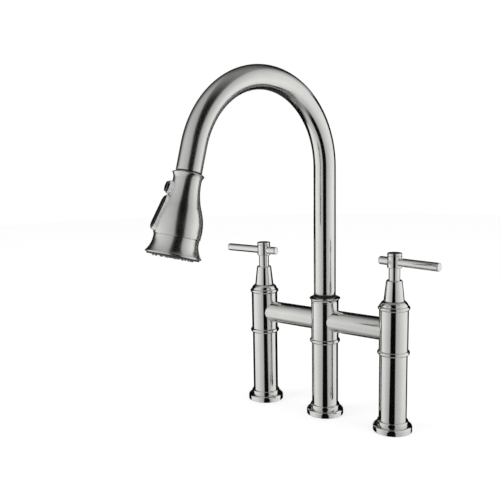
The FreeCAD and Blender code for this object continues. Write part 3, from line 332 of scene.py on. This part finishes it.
def arched_flag(name, radius, climbs, widths, stops, fade=None):
    """Card bent over or under the faucet: it climbs from the lens's side, through the top or the bottom,
    to the back, and reaches from left to right over its widths, all in degrees. It is graded along its
    climb or, where it also fades, graded across its width and faded along its climb."""
    climb = np.radians(np.linspace(*climbs, CARD_COLUMNS))
    across = np.radians(np.linspace(*widths, CARD_COLUMNS))[:, None]
    ahead = radius * np.cos(across) * np.cos(climb)
    aside = np.broadcast_to(radius * np.sin(across), ahead.shape)
    rise = radius * np.cos(across) * np.sin(climb)
    x = ahead * toward_camera.x - aside * toward_camera.y
    y = ahead * toward_camera.y + aside * toward_camera.x
    points = np.stack([x, y, rise + MIDDLE_Z], axis=-1)
    if fade:
        points = points.transpose(1, 0, 2)
    return stage_card(name, points, stops, fade)


EDGE_STOPS = [(0.0, 0.0), (0.04, 1.0), (0.95, 1.0), (1.0, 0.0)]
EDGE_HEIGHTS = (-60.0, 28.0)
cards = [
    arched_flag(
        "front_flag", radius=0.55, climbs=(-105.0, 125.0), widths=(-80.0, 80.0),
        stops=[(0.0, 0.0), (0.385, 0.5), (0.405, 1.0), (0.6, 1.0), (0.62, 0.5), (1.0, 0.0)],
        fade=[(0.0, 0.5), (0.17, 0.55), (0.25, 1.0), (0.7, 1.0), (0.8, 0.6), (0.92, 0.25), (1.0, 0.0)]),
    edge_flag("left_edge_flag", 1.6, (-109.0, -158.0), EDGE_HEIGHTS, EDGE_STOPS),
    edge_flag("right_edge_flag", 1.6, (119.0, 175.0), EDGE_HEIGHTS, EDGE_STOPS),
    arched_flag(
        "top_flag", radius=1.7, climbs=(30.0, 176.0), widths=(-80.0, 70.0),
        stops=[(0.0, 0.0), (0.08, 1.0), (0.69, 1.0), (0.79, 0.45), (0.93, 0.0)],
        fade=[(0.0, 0.0), (0.23, 0.1), (0.42, 0.36), (0.56, 0.78), (0.68, 1.0), (0.985, 1.0), (1.0, 0.0)]),
    arched_flag(
        "low_flag", radius=1.7, climbs=(-60.0, -179.0), widths=(-46.0, 36.0),
        stops=[(0.0, 0.0), (0.17, 0.25), (0.34, 0.72), (0.46, 0.97), (0.98, 0.97), (1.0, 0.0)]),
]
print("cards:", ", ".join(card.name for card in cards))

# %% [markdown]
# ## Lamps
# The surround lights everything evenly, so two large soft lamps add a slight direction to the rubber, the
# plastic and the floor's shadow. Stronger lamps would need no surround, but then the metal would show a
# dark room. These are left out of reflections, which the surround and the cards already make.

# %% Lamps
LAMP_TARGET = Vector((0.0, 0.0, MIDDLE_Z))
LAMPS = {
    "left_softbox": {"place": (-1.0, -1.2, 1.2), "power": 9.0, "size": 1.0},
    "right_softbox": {"place": (1.6, 0.2, 1.1), "power": 6.0, "size": 0.9},
}


def softbox(name, place, power, size):
    """Square area lamp that looks at the middle of the faucet."""
    data = bpy.data.lights.new(name, "AREA")
    data.energy = power
    data.size = size
    lamp = bpy.data.objects.new(name, data)
    lamp.location = place
    lamp.rotation_euler = (LAMP_TARGET - lamp.location).to_track_quat("-Z", "Y").to_euler()
    lamp.visible_glossy = False
    bpy.context.scene.collection.objects.link(lamp)


for name, settings in LAMPS.items():
    softbox(name, **settings)
print("lamps:", ", ".join(LAMPS))

# %% [markdown]
# ## Effects that several finishes share
# Two node groups carry what the finishes have in common. `drawn_grain` turns a stretched coordinate into
# the fine parallel scratches of brushing. The edge group finds edges by comparing the true normal with one
# rounded over a small radius, and gives both a mask and that rounded normal. On metal the mask makes edges
# brighter in colour, partly as wear and partly as a painted highlight. Painted pictures could do this too,
# but noise needs no unwrapping and has no seams.


# %% Group helpers
def group_tree(name, inputs, outputs):
    """Empty shader group with named inputs (socket kind, value) and outputs (socket kind)."""
    tree = bpy.data.node_groups.new(name, "ShaderNodeTree")
    for label, (kind, value) in inputs.items():
        socket = tree.interface.new_socket(label, in_out="INPUT", socket_type=kind)
        if value is not None:
            socket.default_value = value
    for label, kind in outputs.items():
        tree.interface.new_socket(label, in_out="OUTPUT", socket_type=kind)
    return tree, add(tree, "NodeGroupInput").outputs, add(tree, "NodeGroupOutput").inputs


def noise(tree, place, scale, detail, roughness=0.5):
    """Noise value over a coordinate."""
    values = {"Scale": scale, "Detail": detail, "Roughness": roughness}
    return add(tree, "ShaderNodeTexNoise", values, {"Vector": place}).outputs["Fac"]


def map_range(tree, source, before, after=(0.0, 1.0)):
    """Value moved from one range to another, and kept within it."""
    values = {"From Min": before[0], "From Max": before[1], "To Min": after[0], "To Max": after[1]}
    return add(tree, "ShaderNodeMapRange", values, {"Value": source}).outputs[0]


def blend_values(tree, first, second, share):
    """Value between two values, at a fixed share of the second."""
    return add(tree, "ShaderNodeMix", {"Factor": share}, {"A": first, "B": second}).outputs[0]


print("group helpers ready")

# %% Shared groups
STREAK_SHARE = 0.6
EDGE_RADIUS = 0.0005
EDGE_SAMPLES = 6
EDGE_LEAN = (0.995, 0.8)


def drawn_grain_group():
    """Scratch: fine scratches and broader streaks, from noise on a stretched coordinate. Cloud: slow
    change over the piece."""
    tree, given, result = group_tree(
        "drawn_grain",
        {"Stretched": ("NodeSocketVector", None), "Place": ("NodeSocketVector", None)},
        {"Scratch": "NodeSocketFloat", "Cloud": "NodeSocketFloat"})
    fine = noise(tree, given["Stretched"], scale=1.0, detail=5.0, roughness=0.65)
    streak = noise(tree, given["Stretched"], scale=0.18, detail=3.0)
    cloud = noise(tree, given["Place"], scale=38.0, detail=3.0, roughness=0.55)
    tree.links.new(blend_values(tree, fine, streak, STREAK_SHARE), result["Scratch"])
    tree.links.new(cloud, result["Cloud"])
    return tree


def rounded_edge_group():
    """Edge: how far a normal rounded over a radius leans from the true one, by their dot product. Normal:
    that rounded normal."""
    tree, given, result = group_tree(
        "rounded_edge", {"Radius": ("NodeSocketFloat", EDGE_RADIUS)},
        {"Edge": "NodeSocketFloat", "Normal": "NodeSocketVector"})
    bevel = add(tree, "ShaderNodeBevel", {}, {"Radius": given["Radius"]}, samples=EDGE_SAMPLES)
    rounded = bevel.outputs[0]
    true = add(tree, "ShaderNodeNewGeometry").outputs["Normal"]
    lean = add(tree, "ShaderNodeVectorMath", {}, {0: rounded, 1: true}, operation="DOT_PRODUCT")
    tree.links.new(map_range(tree, lean.outputs["Value"], EDGE_LEAN), result["Edge"])
    tree.links.new(rounded, result["Normal"])
    return tree


drawn_grain = drawn_grain_group()
rounded_edge = rounded_edge_group()
print("groups:", drawn_grain.name, rounded_edge.name)

# %% [markdown]
# ## Parts of a finish
# A finish is a Principled shader with plain values on its own sockets, and a few patterns linked into its
# colour, roughness and normal. These helpers make the shader, place a shared group in it, mix two colours
# by a mask, and lay a bump over the rounded edges. Patterns follow the piece's own coordinates, or the
# place on a straightened tube where a mesh has kept that.

# %% Finish helpers
UNROLLED = "unrolled"
NOISE_RANGE = (0.3, 0.7)
NO_TURN = (0.0, 0.0, 0.0)


def new_finish(name, unrolled=False, **shader):
    """Material with a Principled shader whose plain values are set on its own sockets. Gives the material,
    its tree, the shader's inputs and the coordinate that patterns follow."""
    material, tree = empty_material(name)
    surface = add(tree, "ShaderNodeBsdfPrincipled", shader)
    add(tree, "ShaderNodeOutputMaterial", {}, {"Surface": surface.outputs[0]})
    if unrolled:
        place = add(tree, "ShaderNodeAttribute", attribute_name=UNROLLED).outputs["Vector"]
    else:
        place = add(tree, "ShaderNodeTexCoord").outputs["Object"]
    return material, tree, surface.inputs, place


def group(tree, kind, values=None, links=None):
    """Outputs of a shared group placed in a material."""
    return add(tree, "ShaderNodeGroup", values, links, node_tree=kind).outputs


def mix_colour(tree, factor, first, second):
    """Colour between two plain colours by a mask."""
    node = add(tree, "ShaderNodeMix", {}, {"Factor": factor}, data_type="RGBA")
    node.inputs[6].default_value = (*first, 1.0)
    node.inputs[7].default_value = (*second, 1.0)
    return node.outputs[2]


def span(tree, source, low, high):
    """Noise value, which seldom leaves its middle range, stretched to low..high."""
    return map_range(tree, source, NOISE_RANGE, (low, high))


def raised(tree, height, strength, distance, normal=None, invert=False):
    """Normal of a bump, laid over an already rounded normal where one is given."""
    links = {"Height": height}
    if normal:
        links["Normal"] = normal
    values = {"Strength": strength, "Distance": distance}
    return add(tree, "ShaderNodeBump", values, links, invert=invert).outputs[0]


def turned_place(tree, place, turn):
    """Coordinate turned by three angles."""
    return add(tree, "ShaderNodeMapping", {"Rotation": turn}, {"Vector": place}).outputs[0]


def grain_along(tree, place, stretch, turn=NO_TURN):
    """Outputs of the drawn grain on a coordinate that is first turned and then stretched."""
    turned = turned_place(tree, place, turn)
    stretched = add(tree, "ShaderNodeMapping", {"Scale": stretch}, {"Vector": turned}).outputs[0]
    return group(tree, drawn_grain, {}, {"Stretched": stretched, "Place": place})


print("finish helpers ready")

# %% [markdown]
# ## Brushed nickel
# On the real faucet this is nickel plate, rubbed with a fine abrasive that leaves parallel scratches. One
# recipe serves every piece, with another run of the grain: rings round the columns, lengthways on the
# bridge and the levers, and down the spray head. An anisotropic shader could stretch the highlights too,
# but grain in the roughness and in a very shallow bump keeps the stripes crisp. Edges are a little
# brighter in colour, partly where hands and cloths polish them and partly as a painted highlight, and the
# neck gets softer along its bend, where the photograph's stripes blur.

# %% Brushed nickel
NICKEL = (0.69, 0.685, 0.665)
# Brighter nickel for the rubbed grain and for edges, where it is partly a painted highlight.
NICKEL_WEAR_AND_SHEEN = (0.8, 0.795, 0.775)
NICKEL_EDGE = 0.0006
ACROSS_GRAIN = 5200.0
ALONG_GRAIN = 45.0
RINGS = (ALONG_GRAIN, ALONG_GRAIN, ACROSS_GRAIN)
ALONG_X = (ALONG_GRAIN, ACROSS_GRAIN, ACROSS_GRAIN)
ALONG_Z = (ACROSS_GRAIN, ACROSS_GRAIN, ALONG_GRAIN)
SCRATCH_BUMP = {"strength": 0.05, "distance": 0.00003}
GRAIN_POLISH = 0.8
SOFTENED_STRETCH = (0.22, 0.42)
SOFTER = 0.14


def nickel(name, stretch, smooth, rough, turn=NO_TURN, unrolled=False):
    """Brushed nickel whose scratches run the way that the turned and stretched coordinate is slow. Its colour is
    brighter along edges, partly as wear and partly as a painted highlight. On an unrolled tube, it also gets
    rougher along the softened stretch."""
    material, tree, inputs, place = new_finish(name, unrolled, Metallic=1.0)
    grain = grain_along(tree, place, stretch, turn)
    edge = group(tree, rounded_edge, {"Radius": NICKEL_EDGE})
    mean = blend_values(tree, grain["Scratch"], grain["Cloud"], 0.5)
    roughness = span(tree, mean, smooth, rough)
    if unrolled:
        softer = map_range(tree, parts(tree, place)["Z"], SOFTENED_STRETCH, (0.0, SOFTER))
        roughness = calculate(tree, "ADD", roughness, softer)
    # Brighter colour along edges, partly polish wear and partly a painted highlight, plus the grain's own tone.
    polish_and_sheen = calculate(tree, "ADD", edge["Edge"], span(tree, mean, 0.0, GRAIN_POLISH), clamp=True)
    normal = raised(tree, grain["Scratch"], **SCRATCH_BUMP, normal=edge["Normal"])
    tree.links.new(roughness, inputs["Roughness"])
    tree.links.new(mix_colour(tree, polish_and_sheen, NICKEL, NICKEL_WEAR_AND_SHEEN), inputs["Base Color"])
    tree.links.new(normal, inputs["Normal"])
    return material


pull = next(joint for joint in frame["joints"] if joint["name"] == "head_pull")
outlet = Vector(pull["axis"]).normalized()
head_turn = tuple(outlet.rotation_difference(Vector((0.0, 0.0, 1.0))).to_euler())
column_nickel = nickel("column_nickel", RINGS, smooth=0.05, rough=0.13)
bridge_nickel = nickel("bridge_nickel", ALONG_X, smooth=0.09, rough=0.16)
lever_nickel = nickel("lever_nickel", ALONG_X, smooth=0.07, rough=0.1)
head_nickel = nickel("head_nickel", ALONG_Z, smooth=0.17, rough=0.28, turn=head_turn)
neck_nickel = nickel("neck_nickel", RINGS, smooth=0.08, rough=0.13, unrolled=True)
print("nickel for columns, bridge, levers, head and neck")

# %% [markdown]
# ## Moulded plastic, rubber and ceramic
# Bezels, bushes, seals, the spray face and its nozzles, and the valves' discs come out of a mould, which
# leaves a faintly pebbled skin. Plain colours would look like paint, so colour and roughness drift slowly
# over the piece. One recipe with a table of values is enough, because the pieces differ mainly in how dark
# and how glossy they are.

# %% Mouldings
MOULDED_EDGE = 0.0004
SKIN_DEPTH = 0.00005


def moulding(name, dark, pale, rough, bump=0.1, **shader):
    """Moulded piece: colour and roughness drift slowly, under a fine pebbled skin."""
    material, tree, inputs, place = new_finish(name, **shader)
    drift = noise(tree, place, scale=60.0, detail=4.0)
    skin = noise(tree, place, scale=900.0, detail=2.0)
    edge = group(tree, rounded_edge, {"Radius": MOULDED_EDGE})
    tree.links.new(mix_colour(tree, drift, dark, pale), inputs["Base Color"])
    tree.links.new(span(tree, drift, *rough), inputs["Roughness"])
    tree.links.new(raised(tree, skin, bump, SKIN_DEPTH, edge["Normal"]), inputs["Normal"])
    return material


MOULDED = {
    "bright_bezel": ((0.82, 0.82, 0.81), (0.88, 0.88, 0.87), (0.2, 0.3), {"Metallic": 0.35}),
    "ceramic_disc": ((0.86, 0.85, 0.82), (0.92, 0.91, 0.88), (0.12, 0.2), {}),
    "seal_rubber": ((0.02, 0.02, 0.02), (0.045, 0.045, 0.045), (0.6, 0.8), {}),
    "dark_acetal": ((0.02, 0.02, 0.02), (0.035, 0.035, 0.035), (0.4, 0.55), {}),
    "bearing_plastic": ((0.76, 0.76, 0.74), (0.82, 0.82, 0.8), (0.35, 0.5), {}),
    "core_plastic": ((0.2, 0.2, 0.21), (0.27, 0.27, 0.28), (0.4, 0.55), {}),
    "black_gloss": ((0.009, 0.009, 0.01), (0.016, 0.016, 0.017), (0.1, 0.2), {"bump": 0.04}),
    "face_plastic": ((0.035, 0.035, 0.035), (0.06, 0.06, 0.06), (0.35, 0.5), {}),
    "nozzle_rubber": ((0.16, 0.16, 0.16), (0.22, 0.22, 0.22), (0.55, 0.75), {}),
}
finishes = {"brushed_nickel": column_nickel}
for name, (dark, pale, rough, more) in MOULDED.items():
    finishes[name] = moulding(name, dark, pale, rough, **more)
print("mouldings:", ", ".join(MOULDED))

# %% [markdown]
# ## Machined metal
# The brass fittings, the steel parts and the button are turned on a lathe, which leaves fine rings. The
# rings could be cut into the meshes, but at this depth nobody would see more than their shine, so the
# nickel's grain is used again with other colours and a deeper bump.

# %% Machined metal
TOOL_RING_BUMP = {"strength": 0.08, "distance": 0.00004}


def machined(name, colour, worn_and_sheen, rough):
    """Turned metal with tool rings, and edges brighter in colour, partly as wear and partly as a painted
    highlight.
    """
    material, tree, inputs, place = new_finish(name, Metallic=1.0)
    grain = grain_along(tree, place, RINGS)
    edge = group(tree, rounded_edge)
    # Brighter colour along edges, partly wear and partly a painted highlight.
    polish_and_sheen = calculate(tree, "MULTIPLY", edge["Edge"], grain["Cloud"])
    normal = raised(tree, grain["Scratch"], **TOOL_RING_BUMP, normal=edge["Normal"])
    tree.links.new(span(tree, grain["Scratch"], *rough), inputs["Roughness"])
    tree.links.new(mix_colour(tree, polish_and_sheen, colour, worn_and_sheen), inputs["Base Color"])
    tree.links.new(normal, inputs["Normal"])
    return material


# Each row: colour, the brighter colour along edges (wear and painted highlight), and roughness.
TURNED = {
    "brass": ((0.72, 0.55, 0.27), (0.8, 0.64, 0.36), (0.2, 0.35)),
    "steel": ((0.55, 0.55, 0.56), (0.66, 0.66, 0.67), (0.15, 0.3)),
    "button_chrome": ((0.16, 0.16, 0.165), (0.24, 0.24, 0.245), (0.06, 0.12)),
}
for name, (colour, worn_and_sheen, rough) in TURNED.items():
    finishes[name] = machined(name, colour, worn_and_sheen, rough)
print("machined:", ", ".join(TURNED))

# %% [markdown]
# ## Aerator screen
# An aerator ends in a screen of woven wire, here 0.7 wires to the millimetre. The wires could be modelled,
# but that is a great many faces for a small disc that is seen only from below. So two crossed waves in the
# finish draw the wires, and the holes between them as dark painted shade.

# %% Aerator screen
WIRES_PER_METRE = 700.0
WIRE_EDGE = (0.5, 0.65)
WIRE_BUMP = {"strength": 0.4, "distance": 0.0002}


def screen(name, wire, hole_shade):
    """Woven screen across the head: wires where either of two crossed sine waves is low, and holes, painted dark
    as their shade, where both are high."""
    material, tree, inputs, place = new_finish(name, Metallic=0.6, Roughness=0.35)
    across = parts(tree, turned_place(tree, place, head_turn))
    waves = []
    for way in ("X", "Y"):
        phase = calculate(tree, "MULTIPLY", across[way], math.pi * WIRES_PER_METRE)
        waves.append(calculate(tree, "ABSOLUTE", calculate(tree, "SINE", phase)))
    weave = calculate(tree, "MINIMUM", *waves)
    # The holes' dark colour is painted shade.
    tree.links.new(mix_colour(tree, map_range(tree, weave, WIRE_EDGE), wire, hole_shade), inputs["Base Color"])
    tree.links.new(raised(tree, weave, **WIRE_BUMP, invert=True), inputs["Normal"])
    return material


# The holes' near-black colour is painted shade inside the screen's openings.
aerator_screen = screen("aerator_screen", wire=(0.5, 0.5, 0.51), hole_shade=(0.02, 0.02, 0.02))
print("screen:", aerator_screen.name)

# %% [markdown]
# ## Finishes on the frame's nodes
# The record names a material slot for every node, and most nodes take that slot's finish. A few have one
# of their own: the grain runs another way on the bridge, the levers and the head, the pause button is dark
# chrome, and the aerator has its screen. The hose's nodes are replaced further down, so they only get a
# plain plastic here.

# %% Finishes on the frame's nodes
OWN_FINISH = {
    "left_bridge_tube": bridge_nickel,
    "right_bridge_tube": bridge_nickel,
    "left_lever": lever_nickel,
    "right_lever": lever_nickel,
    "head_collar": head_nickel,
    "head_shell": head_nickel,
    "head_skirt": head_nickel,
    "pause_button": finishes["button_chrome"],
    "aerator": aerator_screen,
}
subparts = frame["record"]["subparts"]
for row in subparts:
    of_slot = finishes.get(row["material_slot"], finishes["core_plastic"])
    mesh = nodes[row["node"]].data
    mesh.materials.clear()
    mesh.materials.append(OWN_FINISH.get(row["node"], of_slot))
print("dressed", len(subparts), "nodes")

# %% [markdown]
# ## Line of the spout
# The gooseneck is a straight riser, a bend and a short straight tip, and the hose inside follows the same
# line. A Blender curve could draw it, but a formula also gives the distance along the line, which the
# brushing and the braid need.

# %% Line of the spout
RISER_TOP = 0.3371
BEND_RADIUS = 0.1092
BEND_ANGLE = math.radians(164.5)
TIP_LENGTH = 0.0291
SPOUT_TURN = math.radians(10.25)
heading = np.array([-math.sin(SPOUT_TURN), -math.cos(SPOUT_TURN), 0.0])
upward = np.array([0.0, 0.0, 1.0])


def spout_length(start_z):
    """Length of the spout's line from a height on its riser to the outlet."""
    return RISER_TOP - start_z + BEND_RADIUS * BEND_ANGLE + TIP_LENGTH


def along_spout(distance, start_z):
    """Centre line at distances from a height on the riser: straight up, then round the bend's circle,
    then straight on. Gives the centre, the outward normal in the bend's plane, and the side."""
    riser = RISER_TOP - start_z
    angle = np.clip((distance - riser) / BEND_RADIUS, 0.0, BEND_ANGLE)[:, None]
    rise = np.minimum(distance, riser)[:, None]
    beyond = np.maximum(distance - riser - BEND_RADIUS * BEND_ANGLE, 0.0)[:, None]
    outlet_way = heading * math.sin(BEND_ANGLE) + upward * math.cos(BEND_ANGLE)
    centre = upward * (start_z + rise + BEND_RADIUS * np.sin(angle)) + beyond * outlet_way
    centre = centre + heading * BEND_RADIUS * (1.0 - np.cos(angle))
    normal = upward * np.sin(angle) - heading * np.cos(angle)
    return centre, normal, np.cross(upward, -heading)


print(f"spout line: {spout_length(0.0):.4f} m from the deck to the outlet")

# %% [markdown]
# ## Tube along the spout
# A circle carried along the line makes a tube. Out along the outer wall and back along the inner one, it
# closes on itself, so the tube has a real wall and no open edge. Each point also keeps its place on the
# tube as if it were straight, so that a finish can follow the bend.


# %% Tube along the spout
def swept_tube(name, distance, radius, start_z, material, straight_at=None):
    """Closed tube along the spout: row i is a ring of radius[i], one value for each column, at
    distance[i], and the last row joins the first. straight_at gives the rows' distances on the
    straightened tube where these differ."""
    centre, normal, side = along_spout(distance, start_z)
    angle = np.linspace(0.0, 2.0 * np.pi, radius.shape[1], endpoint=False)
    ring = np.cos(angle)[:, None] * normal[:, None, :] + np.sin(angle)[:, None] * side
    points = centre[:, None, :] + radius[..., None] * ring
    piece = grid_mesh(name, points, close_u=True, close_v=True, material=material)
    along = distance if straight_at is None else straight_at
    along = np.broadcast_to(along[:, None], radius.shape)
    straight = np.stack([radius * np.cos(angle), radius * np.sin(angle), along], axis=-1)
    layer = piece.data.attributes.new(UNROLLED, "FLOAT_VECTOR", "POINT")
    layer.data.foreach_set("vector", straight.astype(np.float32).ravel())
    return piece


print("tube helper ready")

# %% [markdown]
# ## Gooseneck
# The real neck is one drawn tube, bent to its arch, with the sharp edge of its cut end taken off. The
# frame's tube could stay, but its cut end is sharp, and its mesh doesn't say where a point lies on the
# straightened tube, which the brushing follows. So this piece takes over its looks, and the frame's tube
# still gives the collision shape.

# %% Gooseneck
SPOUT_RADIUS = 0.0147
SPOUT_WALL = 0.0015
SPOUT_LIP = 0.0004
SPOUT_COLUMNS = 72
RISER_ROWS = 24
BEND_ROWS = 140
LIP_ROWS = 4


def make_gooseneck():
    """Outer wall from foot to outlet, its edge rounded by a quarter circle, and the inner wall back."""
    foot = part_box("spout_tube")[0][2]
    length = spout_length(foot)
    riser = np.linspace(0.0, RISER_TOP - foot, RISER_ROWS, endpoint=False)
    wall = np.concatenate([riser, np.linspace(RISER_TOP - foot, length - SPOUT_LIP, BEND_ROWS)])
    turn = np.linspace(0.0, 0.5 * np.pi, LIP_ROWS + 1)[1:]
    lip = length - SPOUT_LIP + SPOUT_LIP * np.sin(turn)
    lip_radius = SPOUT_RADIUS - SPOUT_LIP + SPOUT_LIP * np.cos(turn)
    inner = np.concatenate([[length], wall[::-1]])
    inner_radius = np.full(len(inner), SPOUT_RADIUS - SPOUT_WALL)
    distance = np.concatenate([wall, lip, inner])
    radius = np.concatenate([np.full(len(wall), SPOUT_RADIUS), lip_radius, inner_radius])
    radius = np.broadcast_to(radius[:, None], (len(radius), SPOUT_COLUMNS))
    return swept_tube("gooseneck", distance, radius, foot, neck_nickel)


gooseneck = make_gooseneck()
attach(gooseneck, "spout")
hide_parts("spout_tube")
print("gooseneck:", len(gooseneck.data.polygons), "faces")

# %% [markdown]
# ## Braid
# The hose is rubber in a sleeve of crossed nylon threads. Threads could be swept one by one, but the hose
# is mostly hidden, so the sleeve is one surface. Two families of threads climb round it in opposite
# senses, and the radius follows the product of their two sine waves, which stands proud where threads
# cross. The finish uses the same product as its mask, so the pale threads lie on the raised places.

# %% Braid
HOSE_RADIUS = 0.0065
BRAID_DEPTH = 0.00022
BRAID_THREADS = 7
BRAID_LAY = 0.052
THREAD_CLIMB = 2.0 * math.pi * BRAID_THREADS / BRAID_LAY
BRAID_GROOVE = (0.13, 0.13, 0.135)
BRAID_PALE = (0.45, 0.45, 0.46)
BRAID_CONTRAST = (-0.6, 0.6)
BRAID_ROUGHNESS = (0.45, 0.65)
FIBRE_BUMP = {"strength": 0.35, "distance": 0.00012}


def thread_wave(tree, angle, along, sense):
    """Sine of one family of threads: threads times the angle, plus or minus the climb along the hose."""
    climb = calculate(tree, "MULTIPLY", along, sense * THREAD_CLIMB)
    return calculate(tree, "SINE", calculate(tree, "MULTIPLY_ADD", angle, float(BRAID_THREADS), climb))


def braid_finish():
    """Grey nylon braid: pale where the product of the two thread waves is high, with a fibrous skin."""
    material, tree, inputs, place = new_finish("hose_braid", unrolled=True)
    at = parts(tree, place)
    angle = calculate(tree, "ARCTAN2", at["Y"], at["X"])
    families = [thread_wave(tree, angle, at["Z"], sense) for sense in (1.0, -1.0)]
    mask = map_range(tree, calculate(tree, "MULTIPLY", *families), BRAID_CONTRAST)
    fibre = noise(tree, place, scale=4200.0, detail=3.0)
    tree.links.new(mix_colour(tree, mask, BRAID_GROOVE, BRAID_PALE), inputs["Base Color"])
    tree.links.new(span(tree, fibre, *BRAID_ROUGHNESS), inputs["Roughness"])
    tree.links.new(raised(tree, fibre, **FIBRE_BUMP), inputs["Normal"])
    return material


def braid_radius(angle, along):
    """Radius of the sleeve: the hose's, less a groove where the product of the two thread waves is low."""
    climb = THREAD_CLIMB * along
    weave = np.sin(BRAID_THREADS * angle + climb) * np.sin(BRAID_THREADS * angle - climb)
    return HOSE_RADIUS - BRAID_DEPTH * (1.0 - weave) * 0.5


hose_braid = braid_finish()
print("braid:", BRAID_THREADS, "threads each way, once round in", BRAID_LAY, "m")

# %% [markdown]
# ## Hose along the spout
# The hose comes up the middle column, goes round the bend and ends in the dock at the outlet. It keeps to
# the spout's centre line, so the swept tube makes it too: the braided sleeve on the way out, and a plain
# bore on the way back, which needs fewer rows. It rides on the spout and turns with it.

# %% Hose along the spout
HOSE_BORE = 0.004
HOSE_FOOT_Z = 0.024
HOSE_COLUMNS = 84
SLEEVE_ROWS = 420
BORE_ROWS = 120
DOCK_DEPTH = 0.028
hose_length = spout_length(HOSE_FOOT_Z) - DOCK_DEPTH
round_hose = np.linspace(0.0, 2.0 * np.pi, HOSE_COLUMNS, endpoint=False)


def hose_radii(sleeve, bore_rows):
    """Radii of the braided sleeve's rows, followed by those of the plain bore's rows."""
    bore = np.full((bore_rows, HOSE_COLUMNS), HOSE_BORE)
    return np.concatenate([braid_radius(round_hose, sleeve[:, None]), bore])


def make_inner_hose():
    """Hose from its foot to the dock in the spout's tip."""
    sleeve = np.linspace(0.0, hose_length, SLEEVE_ROWS)
    distance = np.concatenate([sleeve, np.linspace(hose_length, 0.0, BORE_ROWS)])
    return swept_tube("inner_hose", distance, hose_radii(sleeve, BORE_ROWS), HOSE_FOOT_Z, hose_braid)


inner_hose = make_inner_hose()
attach(inner_hose, "spout")
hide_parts("hose_riser")
print("inner hose:", len(inner_hose.data.polygons), "faces,", round(hose_length, 3), "m long")

# %% [markdown]
# ## Drawn hose
# The part of the hose that is drawn out with the head is only a few millimetres long at rest. A rigid
# piece would leave a gap when the head is down, so it is worked out at its full pulled length and pressed
# together. Its rows' places are the inverse of a smooth step, so that rows moved by a smooth step of their
# place come out nearly evenly spaced when the head is down.

# %% Drawn hose
TIP_AT_REST = 0.004
PULL = 0.22
DRAWN_ROWS = 240


def make_drawn_hose():
    """Hose tip: a row's place is a half less the sine of a third of the arcsine of one less twice its
    share, times the length at rest. The plain bore needs only its two ends."""
    share = np.linspace(0.0, 1.0, DRAWN_ROWS)
    place = 0.5 - np.sin(np.arcsin(1.0 - 2.0 * share) / 3.0)
    pulled = share * (TIP_AT_REST + PULL)
    distance = hose_length + TIP_AT_REST * np.concatenate([place, [1.0, 0.0]])
    straight_at = np.concatenate([pulled, [pulled[-1], 0.0]])
    return swept_tube("drawn_hose", distance, hose_radii(pulled, 2), HOSE_FOOT_Z, hose_braid, straight_at)


drawn_hose = make_drawn_hose()
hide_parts("hose_tip")
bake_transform(drawn_hose)
print("drawn hose:", len(drawn_hose.data.polygons), "faces")
